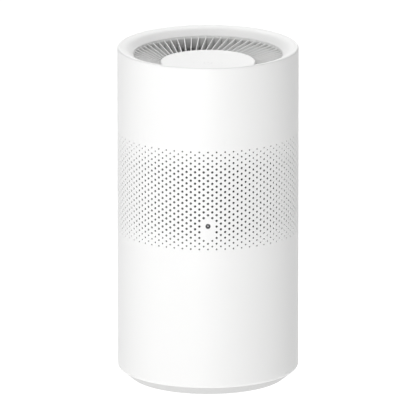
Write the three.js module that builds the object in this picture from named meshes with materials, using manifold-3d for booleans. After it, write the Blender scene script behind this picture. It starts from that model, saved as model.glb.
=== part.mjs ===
// Cylindrical room air purifier, about 394 mm tall and 210 mm across.
//
// Air enters through a band of small holes half way up the housing, passes inwards through the
// pleated filter, is drawn up its hollow core by a backward-curved fan and leaves through a ring of
// swirl blades round the control disc. The base cover is held by a bayonet: it turns to unlock, and
// the housing then lifts off the filter, which stands on the base cover.
//
// Millimetres, +Z up, origin on the floor under the centre of the base, front towards -Y.
import * as THREE from "three";
import { mergeVertices } from "three/addons/utils/BufferGeometryUtils.js";
import Module from "manifold-3d";

const wasm = await Module();
wasm.setup();

// ---------------------------------------------------------------- driving dimensions

const HEIGHT = 394; // floor to the crest of the rim
const RADIUS = 105; // outside of the housing
const WALL = 2.5; // housing wall
const BAND = { low: 173.5, high: 298.8, inner: 103.7 }; // where the wall is thin, for the intake holes
const GAP = 0.3; // between two pieces that meet
const ROUND = 40; // segments of a large round piece that shows
const INNER_ROUND = 24; // segments of a large round piece inside
const SMALL_ROUND = 16; // segments of a small round piece

const FOOT = { radius: 9, height: 2.6, ring: 76 };
const BASE = { bottom: 1, bottomRadius: 89.5, topRadius: 102.6, shoulder: 11.8 };
const SPIGOT = { inner: 93.6, outer: 96, top: 24.4 };
const LOCK = { inner: 97, outer: RADIUS - WALL - GAP, notch: 100, low: 16, high: 20 };
const LUG = { count: 4, halfAngle: 8, reach: 99.4, low: 20.4, high: 23.4 };
const TWIST = 24; // degrees from locked to free
const POCKET = { near: 7, far: 36, halfLength: 24, ceiling: 11.5 };

const FILTER = { low: 15.2, high: 294, inner: 42, outer: 80, cap: 9 };
const GASKET = { inner: 50, outer: 72, high: 299.7 };
const DECK = { low: 300, high: 303, mouth: 44, outer: RADIUS - WALL - 0.5 };
const DUCT = { inner: 92, outer: 94, collar: 88.6, shoulder: 362, high: HEIGHT - 10.6 };
const FAN = { eye: 48.5, radius: 76, low: 309, high: 347, blades: 9 };
const MOTOR = { can: 25, canLow: 326, canHigh: 344, shaft: 2 };
const BRIDGE = { plate: 72, low: 350, high: 352.6, vanes: 11 };

const CREST = { radius: 103, round: 2.1 };
const FUNNEL = { inner: 86.6, low: HEIGHT - 9.8, skirt: 98.4, skirtLow: HEIGHT - 16 };
const GRILLE = { blades: 62, thick: 1.3, offset: 21, phase: -1.2, depth: 12.5, slope: 0.32 };
const GRILLE_RIM = { inner: 86.3, outer: 88.2, top: HEIGHT - 10.5, crown: HEIGHT - 10.1 };
const GRILLE_HUB = { inner: 52.6, outer: 54.8, crown: HEIGHT - 20.6, low: HEIGHT - 33 };
const DISC = {
  radius: 55.2,
  rim: HEIGHT - 17.8,
  under: HEIGHT - 20.1,
  dish: 2.4,
  edge: 2,
  wall: 1.4,
};
const POD = { radius: 52.2, low: HEIGHT - 39, wall: 1.8 };

const LEAD_HEIGHT = POD.low + 2.4; // where the power lead crosses the outlet

const INDICATOR = { z: 205.9, radius: 2.7 };
const INLET = { z: 34, halfPitch: 4.3, width: 19, height: 10.4, pin: 1.2, depth: 15 };

// ---------------------------------------------------------------- finishes

const finish = (color, roughness, metalness = 0) =>
  new THREE.MeshStandardMaterial({ color, roughness, metalness });

const WHITE = finish(0xf1f1f0, 0.42);
const DISH_WHITE = finish(0xf4f4f3, 0.3);
const GRILLE_WHITE = finish(0xe4e4e3, 0.5);
const BASE_GREY = finish(0xcfcfce, 0.55);
const INNER_GREY = finish(0xb9babb, 0.6);
const DARK_PLASTIC = finish(0x2b2c2e, 0.5);
const LENS_DARK = finish(0x141517, 0.12);
const RUBBER_GREY = finish(0x8d8e90, 0.85);
const FILTER_PAPER = finish(0xf5f3ec, 0.9);
const FILTER_NET = finish(0xdfe2e4, 0.85);
const CARBON_BLACK = finish(0x1c1c1d, 0.95);
const SCREEN_BLACK = finish(0x242425, 0.9);
const FOAM_GREY = finish(0x6f7174, 0.95);
const RIBBON = finish(0xe8e8e6, 0.9);
const BOARD_GREEN = finish(0x1f5a3a, 0.45);
const STEEL = finish(0xb8babd, 0.3, 1);
const BRASS = finish(0xc79a4b, 0.3, 1);
const COPPER = finish(0xb5642f, 0.35, 1);
const LAMINATION = finish(0x6c6e72, 0.45, 1);
const LIGHT_GUIDE = finish(0xeef2f4, 0.15);
const CABLE = finish(0xdcdcda, 0.6);

// ---------------------------------------------------------------- shape helpers

/** A closed geometry as a manifold-3d solid. */
function solidOf(geometry) {
  const bare = geometry.index ? geometry.toNonIndexed() : geometry.clone();
  bare.deleteAttribute("normal");
  bare.deleteAttribute("uv");
  const merged = mergeVertices(bare, 1e-4);
  return new wasm.Manifold(
    new wasm.Mesh({
      numProp: 3,
      vertProperties: merged.attributes.position.array,
      triVerts: new Uint32Array(merged.index.array),
    }),
  );
}

/** A manifold-3d solid as a geometry. */
function geometryOf(solid) {
  const { numProp, vertProperties, triVerts, numVert } = solid.getMesh();
  const positions = new Float32Array(numVert * 3);
  for (let i = 0; i < numVert; i++)
    positions.set(vertProperties.subarray(i * numProp, i * numProp + 3), i * 3);
  return new THREE.BufferGeometry()
    .setAttribute("position", new THREE.BufferAttribute(positions, 3))
    .setIndex(new THREE.BufferAttribute(triVerts, 1));
}

/** The first geometry with all the others joined to it. */
function join(...geometries) {
  return geometryOf(geometries.map(solidOf).reduce((whole, piece) => whole.add(piece)));
}

/** The first geometry with all the others cut out of it. */
function cut(geometry, ...tools) {
  return geometryOf(tools.map(solidOf).reduce((left, tool) => left.subtract(tool), solidOf(geometry)));
}

/** A closed outline of [radius, z] corners, listed anticlockwise, turned about the Z axis. */
function turned(outline, segments = ROUND) {
  const closed = outline.at(0)[0] === 0 ? outline : [...outline, outline[0]];
  const points = closed.map(([radius, z]) => new THREE.Vector2(radius, z));
  return new THREE.LatheGeometry(points, segments).rotateX(Math.PI / 2);
}

/** A round tube standing on the XY plane. */
function tube(inner, outer, low, high, segments = ROUND) {
  const outline = [
    [inner, low],
    [outer, low],
    [outer, high],
    [inner, high],
  ];
  return turned(outline, segments);
}

/** A solid round bar standing on the XY plane. */
function bar(radius, low, high, segments = ROUND) {
  return new THREE.CylinderGeometry(radius, radius, high - low, segments)
    .rotateX(Math.PI / 2)
    .translate(0, 0, (low + high) / 2);
}

/** A round bar lying along Y. */
function barAlongY(radius, near, far, x, z, segments = SMALL_ROUND) {
  return new THREE.CylinderGeometry(radius, radius, far - near, segments).translate(x, (near + far) / 2, z);
}

/** A block given by its two corners. */
function block([x0, y0, z0], [x1, y1, z1]) {
  const box = new THREE.BoxGeometry(x1 - x0, y1 - y0, z1 - z0);
  return box.translate((x0 + x1) / 2, (y0 + y1) / 2, (z0 + z1) / 2);
}

/** A flat outline of [x, y] corners, extruded from low to high. */
function extruded(outline, low, high) {
  const shape = new THREE.Shape(outline.map(([x, y]) => new THREE.Vector2(x, y)));
  return new THREE.ExtrudeGeometry(shape, { depth: high - low, bevelEnabled: false }).translate(0, 0, low);
}

/** Copies of a geometry turned evenly about the Z axis, starting at a given angle in degrees. */
function around(count, geometry, start = 0) {
  return Array.from({ length: count }, (_, i) =>
    geometry.clone().rotateZ(THREE.MathUtils.degToRad(start + (360 / count) * i)),
  );
}

/** Points of an arc in the [radius, z] plane, with angles in degrees from the +radius direction. */
function arc([r, z], radius, from, to, steps = 5) {
  return Array.from({ length: steps + 1 }, (_, i) => {
    const angle = THREE.MathUtils.degToRad(from + ((to - from) * i) / steps);
    return [r + radius * Math.cos(angle), z + radius * Math.sin(angle)];
  });
}

/** A pie slice of a tube, centred on an angle in degrees from +X towards +Y. */
function sector(inner, outer, low, high, centre, halfAngle) {
  const edge = (radius, from, to) => arc([0, 0], radius, from, to, 2);
  const outline = [
    ...edge(outer, centre - halfAngle, centre + halfAngle),
    ...edge(inner, centre + halfAngle, centre - halfAngle),
  ];
  return extruded(outline, low, high);
}

/** A cross-head screw standing head up, with the underside of its head at z. */
function screw(z, length, headRadius = 2.9, shank = 1.4) {
  const body = turned(
    [
      [0, z - length],
      [shank, z - length + 1.2],
      [shank, z],
      [headRadius, z],
      [headRadius, z + 1.2],
      [headRadius * 0.7, z + 2],
      [0, z + 2],
    ],
    8,
  );
  const arm = block([-1.6, -0.35, z + 0.9], [1.6, 0.35, z + 3]);
  return cut(body, arm, arm.clone().rotateZ(Math.PI / 2));
}

/** A closed tube of eight sides along a smooth route of points. */
function lead(points, radius, steps) {
  const route = new THREE.CatmullRomCurve3(points.map((p) => new THREE.Vector3(...p)));
  const section = new THREE.Shape().absarc(0, 0, radius, 0, 2 * Math.PI);
  const settings = { steps, extrudePath: route, curveSegments: 3, bevelEnabled: false };
  return new THREE.ExtrudeGeometry(section, settings);
}

// ---------------------------------------------------------------- assembly

const purifier = new THREE.Group();

/** Adds one named piece to the purifier. */
function piece(name, geometry, material) {
  const mesh = new THREE.Mesh(geometry, material);
  mesh.name = name;
  purifier.add(mesh);
  return mesh;
}

// ---- base: cover with bayonet lugs and finger pockets, on four rubber feet

function baseCover() {
  const shell = turned([
    [0, BASE.bottom],
    [BASE.bottomRadius - 2, BASE.bottom],
    ...arc([BASE.bottomRadius - 2, BASE.bottom + 2], 2, -90, -36, 2),
    [BASE.topRadius, BASE.shoulder],
    [SPIGOT.outer, BASE.shoulder],
    [SPIGOT.outer, SPIGOT.top],
    [SPIGOT.inner, SPIGOT.top],
    [SPIGOT.inner, 6.5],
    [87, 3.6],
    [0, 3.6],
  ]);
  const lug = sector(SPIGOT.outer - 1, LUG.reach, LUG.low, LUG.high, 0, LUG.halfAngle);
  const pocketRoof = block(
    [-POCKET.far - 2, -POCKET.halfLength - 2, BASE.bottom + 1],
    [POCKET.far + 2, POCKET.halfLength + 2, POCKET.ceiling + 2],
  );
  const pocket = block(
    [POCKET.near, -POCKET.halfLength, BASE.bottom - 2],
    [POCKET.far, POCKET.halfLength, POCKET.ceiling],
  );
  const filterSeat = tube(60, 62.4, 3, FILTER.low - GAP);
  const recessTop = FOOT.height + GAP - 0.4;
  const footRecess = bar(FOOT.radius + GAP, 0, recessTop, SMALL_ROUND).translate(FOOT.ring, 0, 0);
  const body = join(shell, ...around(LUG.count, lug), pocketRoof, filterSeat);
  return cut(body, pocket, pocket.clone().rotateZ(Math.PI), ...around(4, footRecess, 45));
}

piece("base_cover", baseCover(), BASE_GREY);
for (let i = 0; i < 4; i++) {
  const foot = turned(
    [
      [0, 0],
      [FOOT.radius - 0.8, 0],
      [FOOT.radius, 0.8],
      [FOOT.radius, FOOT.height - 0.4],
      [0, FOOT.height - 0.4],
    ],
    SMALL_ROUND,
  );
  const angle = THREE.MathUtils.degToRad(45 + 90 * i);
  const mesh = piece(`rubber_foot_${i + 1}`, foot, RUBBER_GREY);
  mesh.position.set(FOOT.ring * Math.cos(angle), FOOT.ring * Math.sin(angle), 0);
}

// ---- filter cartridge: two end caps, pleated paper, carbon core, outer net, gasket and pull ribbon

/** The zigzag of the pleated paper, seen from above. */
function pleatOutline(count, inner, outer, thick) {
  const outside = [];
  const inside = [];
  for (let i = 0; i < count; i++) {
    const step = (2 * Math.PI) / count;
    const peak = step * i;
    const valley = peak + step / 2;
    outside.push([outer * Math.cos(peak), outer * Math.sin(peak)]);
    outside.push([(inner + thick) * Math.cos(valley), (inner + thick) * Math.sin(valley)]);
    inside.push([(outer - thick) * Math.cos(peak), (outer - thick) * Math.sin(peak)]);
    inside.push([inner * Math.cos(valley), inner * Math.sin(valley)]);
  }
  return { outside, inside };
}

function filterPleats() {
  const { outside, inside } = pleatOutline(48, FILTER.inner + 4.6, FILTER.outer - 2.6, 2.6);
  const shape = new THREE.Shape(outside.map(([x, y]) => new THREE.Vector2(x, y)));
  shape.holes.push(new THREE.Path(inside.map(([x, y]) => new THREE.Vector2(x, y))));
  const low = FILTER.low + FILTER.cap + GAP;
  const high = FILTER.high - FILTER.cap - GAP;
  return new THREE.ExtrudeGeometry(shape, { depth: high - low, bevelEnabled: false }).translate(0, 0, low);
}

const midLow = FILTER.low + FILTER.cap + GAP;
const midHigh = FILTER.high - FILTER.cap - GAP;
piece("filter_pleats", filterPleats(), FILTER_PAPER);
const filterTube = (inner, outer) => tube(inner, outer, midLow, midHigh, INNER_ROUND);
piece("filter_outer_net", filterTube(FILTER.outer - 1.4, FILTER.outer), FILTER_NET);
piece("filter_carbon_core", filterTube(FILTER.inner, FILTER.inner + 4), CARBON_BLACK);
piece(
  "filter_top_cap",
  turned(
    [
      [FILTER.inner, midHigh + GAP],
      [FILTER.outer + 1, midHigh + GAP],
      [FILTER.outer + 1, FILTER.high - 1],
      [FILTER.outer, FILTER.high],
      [FILTER.inner, FILTER.high],
    ],
    INNER_ROUND,
  ),
  INNER_GREY,
);
piece(
  "filter_bottom_cap",
  turned(
    [
      [0, FILTER.low + 2],
      [56, FILTER.low + 2],
      [56, FILTER.low],
      [FILTER.outer, FILTER.low],
      [FILTER.outer + 1, FILTER.low + 1],
      [FILTER.outer + 1, midLow - GAP],
      [0, midLow - GAP],
    ],
    INNER_ROUND,
  ),
  INNER_GREY,
);
piece(
  "filter_gasket",
  tube(GASKET.inner, GASKET.outer, FILTER.high + GAP, GASKET.high, INNER_ROUND),
  FOAM_GREY,
);
piece(
  "pull_ribbon",
  block([-52, -7.5, FILTER.low + 0.6], [52, 7.5, FILTER.low + 1.7]),
  RIBBON,
);

// ---- housing: one-piece shell with a rolled rim, its dust screen, and the base cover's lock ring

function outerShell() {
  const inner = RADIUS - WALL;
  const rimCentre = [CREST.radius, HEIGHT - CREST.round];
  const wall = turned([
    ...arc([RADIUS - 5.5, BASE.shoulder + GAP + 4], 5.5, -47, 0, 3),
    ...arc(rimCentre, CREST.round - 0.1, 0, 150, 5),
    [101.3, HEIGHT - 8],
    [inner, HEIGHT - 9],
    [inner, BAND.high + 1],
    [BAND.inner, BAND.high],
    [BAND.inner, BAND.low],
    [inner, BAND.low - 1],
    [inner, BASE.shoulder + 4],
    [RADIUS - 4.6, BASE.shoulder + GAP],
  ]);
  const indicatorHole = barAlongY(INDICATOR.radius + GAP, -RADIUS - 2, -RADIUS + 6, 0, INDICATOR.z);
  const inletHole = block(
    [-INLET.width / 2 - 1.5, RADIUS - 6, INLET.z - INLET.height / 2 - 1.5],
    [INLET.width / 2 + 1.5, RADIUS + 2, INLET.z + INLET.height / 2 + 1.5],
  );
  return cut(wall, indicatorHole, inletHole);
}

/** The dark screen that lines the intake band. */
function dustScreen() {
  const screen = tube(BAND.inner - 1.2, BAND.inner - 0.6, BAND.low + 0.5, BAND.high - 0.5);
  return cut(screen, barAlongY(INDICATOR.radius + GAP, -RADIUS, -RADIUS + 6, 0, INDICATOR.z));
}

function lockRing() {
  const ring = tube(LOCK.inner, LOCK.outer, LOCK.low, LOCK.high);
  const notch = sector(LOCK.inner - 1, LOCK.notch, LOCK.low - 1, LOCK.high + 1, TWIST, LUG.halfAngle + 2);
  const stop = sector(LOCK.inner, LOCK.outer - 0.2, LOCK.high - 1, LUG.high, -LUG.halfAngle - 3, 1.2);
  return cut(join(ring, ...around(LUG.count, stop)), ...around(LUG.count, notch));
}

piece("outer_shell", outerShell(), WHITE);
piece("dust_screen", dustScreen(), SCREEN_BLACK);
piece("lock_ring", lockRing(), INNER_GREY);

// ---- fan section: deck with the inlet mouth, duct, and the bridge that carries the motor

const DUCT_SCREWS = 4;
const FLANGE = { outer: 101.6, low: DECK.high + GAP, high: DECK.high + 3, screwRing: 97.8 };

/** A round clearance hole for a screw, at a radius on the +X side. */
const screwHole = (ring, low, high, radius = 1.7) => bar(radius, low, high, 12).translate(ring, 0, 0);

function fanDeck() {
  const mouth = DECK.mouth;
  const deck = turned(
    [
      [mouth + 5, DECK.low],
      [DECK.outer, DECK.low],
      [DECK.outer, DECK.high],
      [mouth + 6, DECK.high],
      [mouth + 2, DECK.high + 4],
      [mouth + 2, DECK.high + 9],
      [mouth, DECK.high + 9],
      [mouth, DECK.high + 3],
      [mouth + 2, DECK.low + 1],
    ],
    INNER_ROUND,
  );
  const holes = around(DUCT_SCREWS, screwHole(FLANGE.screwRing, DECK.low - 1, DECK.high + 1), 45);
  const leadHole = screwHole(98.2, DECK.low - 1, DECK.high + 1, 2.6).rotateZ(Math.PI / 2);
  return cut(deck, ...holes, leadHole);
}

function fanDuct() {
  const duct = turned([
    [DUCT.inner, FLANGE.low],
    [FLANGE.outer, FLANGE.low],
    [FLANGE.outer, FLANGE.high],
    [DUCT.outer, FLANGE.high],
    [DUCT.outer, DUCT.shoulder],
    [DUCT.collar + 2, DUCT.shoulder + 6],
    [DUCT.collar + 2, DUCT.high],
    [DUCT.collar, DUCT.high],
    [DUCT.collar, HEIGHT - 23.6],
    [GRILLE_RIM.inner, HEIGHT - 23.6],
    [DUCT.inner, DUCT.shoulder - 2],
    [DUCT.inner, BRIDGE.low - 1],
    [DUCT.inner - 1.6, BRIDGE.low - 1],
    [DUCT.inner, BRIDGE.low - 3.6],
  ]);
  const holes = around(DUCT_SCREWS, screwHole(FLANGE.screwRing, FLANGE.low - 1, FLANGE.high + 1), 45);
  const leadNotch = block([-3, DUCT.inner - 8, 354.5], [3, DUCT.outer + 6, 360.5]);
  const flangeNotch = block([-4, 95.4, FLANGE.low - 1], [4, FLANGE.outer + 1, FLANGE.high + 1]);
  return cut(duct, ...holes, leadNotch, flangeNotch);
}

function motorBridge() {
  const { plate, low, high, vanes } = BRIDGE;
  const disc = turned(
    [
      [6.2, low],
      [plate - 2, low],
      [plate, low + 1],
      [plate, high],
      [6.2, high],
    ],
    INNER_ROUND,
  );
  const rim = tube(89.6, DUCT.inner - GAP, low - GAP, low + 5, INNER_ROUND);
  const vane = block([plate - 3, -1, low + 0.4], [90.2, 1, low + 4.6]);
  const holes = around(3, screwHole(16, low - 1, high + 1), 30);
  return cut(join(disc, rim, ...around(vanes, vane)), ...holes);
}

piece("fan_deck", fanDeck(), INNER_GREY);
piece("fan_duct", fanDuct(), INNER_GREY);
piece("motor_bridge", motorBridge(), INNER_GREY);
for (let i = 0; i < DUCT_SCREWS; i++) {
  const mesh = piece(`duct_screw_${i + 1}`, screw(FLANGE.high + GAP, 8), STEEL);
  const angle = THREE.MathUtils.degToRad(45 + 90 * i);
  mesh.position.set(FLANGE.screwRing * Math.cos(angle), FLANGE.screwRing * Math.sin(angle), 0);
}

// ---- fan: impeller, rotor can with its magnet, and shaft, all turning about Z

/** One backward-curved fan blade between the shroud and the back plate. */
function fanBlade() {
  const steps = 3;
  const sweep = THREE.MathUtils.degToRad(34);
  const edge = (shift) =>
    Array.from({ length: steps + 1 }, (_, i) => {
      const share = i / steps;
      const radius = 50.5 + (FAN.radius - 0.6 - 50.5) * share;
      const angle = -sweep * share ** 1.2 + shift / radius;
      return [radius * Math.cos(angle), radius * Math.sin(angle)];
    });
  return extruded([...edge(-0.8), ...edge(0.8).reverse()], FAN.low + 5.5, FAN.high - 1);
}

function impeller() {
  const shroud = turned(
    [
      [FAN.eye - 1.8, FAN.low],
      [FAN.eye, FAN.low],
      [FAN.eye + 3, FAN.low + 4],
      [FAN.radius, FAN.low + 9],
      [FAN.radius, FAN.low + 10.8],
      [FAN.eye + 2.2, FAN.low + 6],
      [FAN.eye - 1.8, FAN.low + 2.5],
    ],
    INNER_ROUND,
  );
  const back = turned(
    [
      [3.4, MOTOR.canLow - 3],
      [MOTOR.can - 1.5, MOTOR.canLow - 3],
      [MOTOR.can + 2.4, MOTOR.canLow - 0.5],
      [MOTOR.can + 6, FAN.high - 4],
      [FAN.radius, FAN.high - 2],
      [FAN.radius, FAN.high],
      [MOTOR.can + 0.4, FAN.high],
      [MOTOR.can + 0.4, MOTOR.canLow - GAP],
      [3.4, MOTOR.canLow - GAP],
    ],
    INNER_ROUND,
  );
  return join(shroud, back, ...around(FAN.blades, fanBlade()));
}

piece("impeller", impeller(), DARK_PLASTIC);
piece(
  "rotor_can",
  turned(
    [
      [MOTOR.shaft + 0.05, MOTOR.canLow],
      [MOTOR.can, MOTOR.canLow],
      [MOTOR.can, MOTOR.canHigh],
      [MOTOR.can - 1.4, MOTOR.canHigh],
      [MOTOR.can - 1.4, MOTOR.canLow + 1.4],
      [5, MOTOR.canLow + 1.4],
      [5, MOTOR.canLow + 4],
      [MOTOR.shaft + 0.05, MOTOR.canLow + 4],
    ],
    INNER_ROUND,
  ),
  STEEL,
);
piece(
  "magnet_ring",
  tube(21.4, MOTOR.can - 1.45, MOTOR.canLow + 2, MOTOR.canHigh - 0.6, INNER_ROUND),
  DARK_PLASTIC,
);
piece("motor_shaft", bar(MOTOR.shaft, MOTOR.canLow - 2, BRIDGE.high - 3, SMALL_ROUND), STEEL);

// ---- motor stator: laminated core, windings, driver board, and a bearing tube with two bearings

const STATOR = { slots: 9, bore: 6.1, tip: 20.8, low: 332.5, high: 341 };

function statorCore() {
  const tooth = join(
    block([8, -1.6, STATOR.low], [18.9, 1.6, STATOR.high]),
    sector(18.2, STATOR.tip, STATOR.low, STATOR.high, 0, 15),
  );
  return join(tube(STATOR.bore, 9.6, STATOR.low, STATOR.high, 18), ...around(STATOR.slots, tooth));
}

function statorWindings() {
  const coil = block([10.4, -3.2, STATOR.low - 1.6], [17.6, 3.2, STATOR.high + 1.6]);
  const slot = block([9, -1.9, STATOR.low - GAP], [20, 1.9, STATOR.high + GAP]);
  const link = tube(9.9, 11.4, STATOR.high + GAP, STATOR.high + 1.5, 18);
  const coils = around(STATOR.slots, coil);
  const slots = around(STATOR.slots, slot);
  return join(link, ...coils.map((one, i) => cut(one, slots[i])));
}

piece("stator_core", statorCore(), LAMINATION);
piece("stator_windings", statorWindings(), COPPER);
piece("bearing_tube", tube(5.1, 5.9, 331, BRIDGE.high + 1.4, SMALL_ROUND), BRASS);
for (const [name, low] of [
  ["lower_bearing", 331.2],
  ["upper_bearing", 345],
])
  piece(name, tube(MOTOR.shaft + 0.05, 5, low, low + 4, SMALL_ROUND), STEEL);
piece("motor_board", tube(6.4, 22, 343.6, 345.2, INNER_ROUND), BOARD_GREEN);
for (let i = 0; i < 3; i++) {
  const mesh = piece(`motor_screw_${i + 1}`, screw(BRIDGE.high + GAP, 7), STEEL);
  const angle = THREE.MathUtils.degToRad(30 + 120 * i);
  mesh.position.set(16 * Math.cos(angle), 16 * Math.sin(angle), 0);
}

// ---- outlet: funnel, swirl grille and the control disc over its pod

function outletFunnel() {
  const { inner, low, skirt, skirtLow } = FUNNEL;
  return turned([
    [inner, low],
    [inner + 2.4, low],
    [skirt, HEIGHT - 5.2],
    [skirt, skirtLow],
    [skirt + 3, skirtLow],
    [skirt + 3, HEIGHT - 9.4],
    [skirt + 2.5, HEIGHT - 8.6],
    [skirt + 2.5, HEIGHT - 1.5],
    [skirt + 1.2, HEIGHT - 2.2],
    [inner + 1, low + 1],
    [inner, low + 0.7],
  ]);
}

/** The polar angle, in degrees, at which the first blade's middle line meets a radius. */
function bladeAngle(radius) {
  return 90 + GRILLE.phase + THREE.MathUtils.radToDeg(Math.asin(GRILLE.offset / radius));
}

/** A ring with one flat to each blade, turned so that the blades meet the middles of its flats. */
function bladeRing(outline, radius) {
  const turn = bladeAngle(radius) - 180 / GRILLE.blades;
  return turned(outline, GRILLE.blades).rotateZ(THREE.MathUtils.degToRad(turn));
}

function outletGrille() {
  const top = (radius) => GRILLE_RIM.top - GRILLE.slope * (GRILLE_RIM.inner - radius);
  const along = (radius) => Math.sqrt(radius ** 2 - GRILLE.offset ** 2);
  const near = GRILLE_HUB.outer - 1;
  const far = GRILLE_RIM.inner + 1;
  // The blade's side view, drawn as [distance along the blade, height] and turned upright.
  const side = [
    [along(near), top(near) - GRILLE.depth],
    [along(far), top(far) - GRILLE.depth],
    [along(far), top(far)],
    [along(near), top(near)],
  ];
  const blade = extruded(side, -GRILLE.thick / 2, GRILLE.thick / 2)
    .rotateX(Math.PI / 2)
    .rotateZ(Math.PI / 2)
    .translate(-GRILLE.offset, 0, 0);
  const rimLow = GRILLE_RIM.top - GRILLE.depth - 0.3;
  const rim = bladeRing(
    [
      [GRILLE_RIM.inner, rimLow],
      [GRILLE_RIM.outer, rimLow],
      [GRILLE_RIM.outer, GRILLE_RIM.crown],
      [GRILLE_RIM.inner, GRILLE_RIM.crown],
    ],
    GRILLE_RIM.inner,
  );
  const { inner, outer, low, crown } = GRILLE_HUB;
  const hub = bladeRing(
    [
      [inner - 2.4, low - 1.6],
      [outer, low - 1.6],
      [outer, crown],
      [inner, crown],
      [inner, low],
      [inner - 2.4, low],
    ],
    outer,
  );
  return join(rim, hub, ...around(GRILLE.blades, blade, GRILLE.phase));
}

function controlDisc() {
  const { radius, rim, under, dish, edge, wall } = DISC;
  return turned([
    [0, rim - dish - wall],
    [48, rim - dish - wall],
    [48, under - 3],
    [49.8, under - 3],
    [49.8, under],
    [radius, under],
    ...arc([radius - edge, rim - edge], edge, 0, 90, 3),
    [radius * 0.6, rim - dish * 0.7],
    [0, rim - dish],
  ]);
}

function controlPod() {
  const { radius, low, wall } = POD;
  const pod = turned(
    [
      [0, low],
      [radius - 4, low],
      [radius - 2.6, low + 1.4],
      [radius - 2.6, GRILLE_HUB.low + GAP],
      [radius, GRILLE_HUB.low + GAP],
      [radius, GRILLE_HUB.crown - 0.6],
      [radius - wall, GRILLE_HUB.crown - 0.6],
      [radius - wall, GRILLE_HUB.low + 2.2],
      [radius - 4.6, GRILLE_HUB.low + 1],
      [radius - 4.6, low + wall],
      [0, low + wall],
    ],
    INNER_ROUND,
  );
  const leadHole = barAlongY(2, 40, 60, 0, LEAD_HEIGHT, 12);
  return cut(pod, leadHole);
}

piece("outlet_funnel", outletFunnel(), WHITE);
piece("outlet_grille", outletGrille(), GRILLE_WHITE);
piece("control_disc", controlDisc(), DISH_WHITE);
piece("control_pod", controlPod(), INNER_GREY);

// ---- electronics in the pod

function mainBoard() {
  const z = 361.5;
  const board = bar(44, z, z + 1.6, INNER_ROUND);
  const chip = block([-8, -8, z + 1], [6, 6, z + 3]);
  const radio = block([12, -28, z + 1], [28, -12, z + 4]);
  const capacitor = bar(4, z + 1, z + 6.4, SMALL_ROUND).translate(-24, 16, 0);
  const terminal = block([-7, 30, z + 1], [7, 36, z + 5]);
  return join(board, chip, radio, capacitor, terminal);
}

piece("main_board", mainBoard(), BOARD_GREEN);
piece("touch_board", bar(46, HEIGHT - 24.6, HEIGHT - 23, INNER_ROUND), BOARD_GREEN);
piece("light_guide", bar(30, HEIGHT - 22.7, HEIGHT - 21.9, INNER_ROUND), LIGHT_GUIDE);

// ---- front indicator

const INDICATOR_FACE = -RADIUS + 0.2;
piece(
  "indicator_bezel",
  cut(
    barAlongY(INDICATOR.radius, INDICATOR_FACE, -RADIUS + 5, 0, INDICATOR.z),
    barAlongY(INDICATOR.radius - 0.8, INDICATOR_FACE - 1, -RADIUS + 6, 0, INDICATOR.z),
  ),
  DARK_PLASTIC,
);
piece(
  "indicator_lens",
  barAlongY(INDICATOR.radius - 1, INDICATOR_FACE + 0.6, -RADIUS + 4.6, 0, INDICATOR.z),
  LENS_DARK,
);
piece(
  "indicator_board",
  block([-8, -RADIUS + 5.4, INDICATOR.z - 11], [8, -RADIUS + 7, INDICATOR.z + 11]),
  BOARD_GREEN,
);

// ---- air-quality sensor beside the filter

piece(
  "particle_sensor",
  cut(
    block([83.5, -17.5, 232], [95.5, 17.5, 270]),
    block([82, -12, 262], [86, -4, 266]),
    block([82, 4, 236], [86, 12, 240]),
  ),
  DARK_PLASTIC,
);
piece("sensor_bracket", block([95.8, -11, 228], [101, 11, 274]), INNER_GREY);

// ---- mains inlet and power supply at the back

/** A flat outline with round ends, for the figure-of-eight inlet. */
function roundEnded(width, height) {
  const reach = (width - height) / 2;
  return [...arc([reach, 0], height / 2, -90, 90, 8), ...arc([-reach, 0], height / 2, 90, 270, 8)];
}

function mainsInlet() {
  const back = RADIUS - 4.4;
  const face = RADIUS - 0.9;
  const upright = (geometry, y) => geometry.rotateX(Math.PI / 2).translate(0, y, INLET.z);
  const outside = roundEnded(INLET.width + 2, INLET.height + 2);
  const body = upright(extruded(outside, 0, INLET.depth + 2), face);
  const flange = block([-13, back - 2.2, INLET.z - 8], [13, back - 0.2, INLET.z + 8]);
  const mouth = roundEnded(INLET.width - 2, INLET.height - 2);
  const recess = upright(extruded(mouth, 0, INLET.depth + 1), face + 1);
  const pins = [-INLET.halfPitch, INLET.halfPitch].map((x) =>
    barAlongY(INLET.pin, face - INLET.depth - 0.5, face - 5, x, INLET.z, 12),
  );
  return join(cut(join(body, flange), recess), ...pins);
}

function powerBoard() {
  const board = block([-25, 94.6, 52], [25, 96.2, 118]);
  const transformer = block([-20, 86.4, 60], [-2, 95, 82]);
  const capacitor = barAlongY(5, 86.6, 95, 12, 72);
  const filterChoke = block([2, 88, 90], [18, 95, 108]);
  return join(board, transformer, capacitor, filterChoke);
}

piece("mains_inlet", mainsInlet(), DARK_PLASTIC);
piece("power_board", powerBoard(), BOARD_GREEN);
piece(
  "power_cover",
  cut(
    block([-28, 83, 49], [28, 97.6, 121]),
    block([-26.4, 84.6, 50.6], [26.4, 99, 119.4]),
    barAlongY(2.2, 95, 99, 0, 121),
  ),
  DARK_PLASTIC,
);
piece(
  "power_lead",
  lead(
    [
      [0, 98.4, 123],
      [0, 98.4, 160],
      [0, 98.2, 240],
      [0, 98.2, 300],
      [0, 98.2, 330],
      [0, 97.8, 350],
      [0, 95.4, 356.4],
      [0, 90, LEAD_HEIGHT],
      [0, 76, LEAD_HEIGHT],
      [0, 62, LEAD_HEIGHT],
      [0, 44, LEAD_HEIGHT],
    ],
    1.6,
    22,
  ),
  CABLE,
);

export default purifier;
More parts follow.
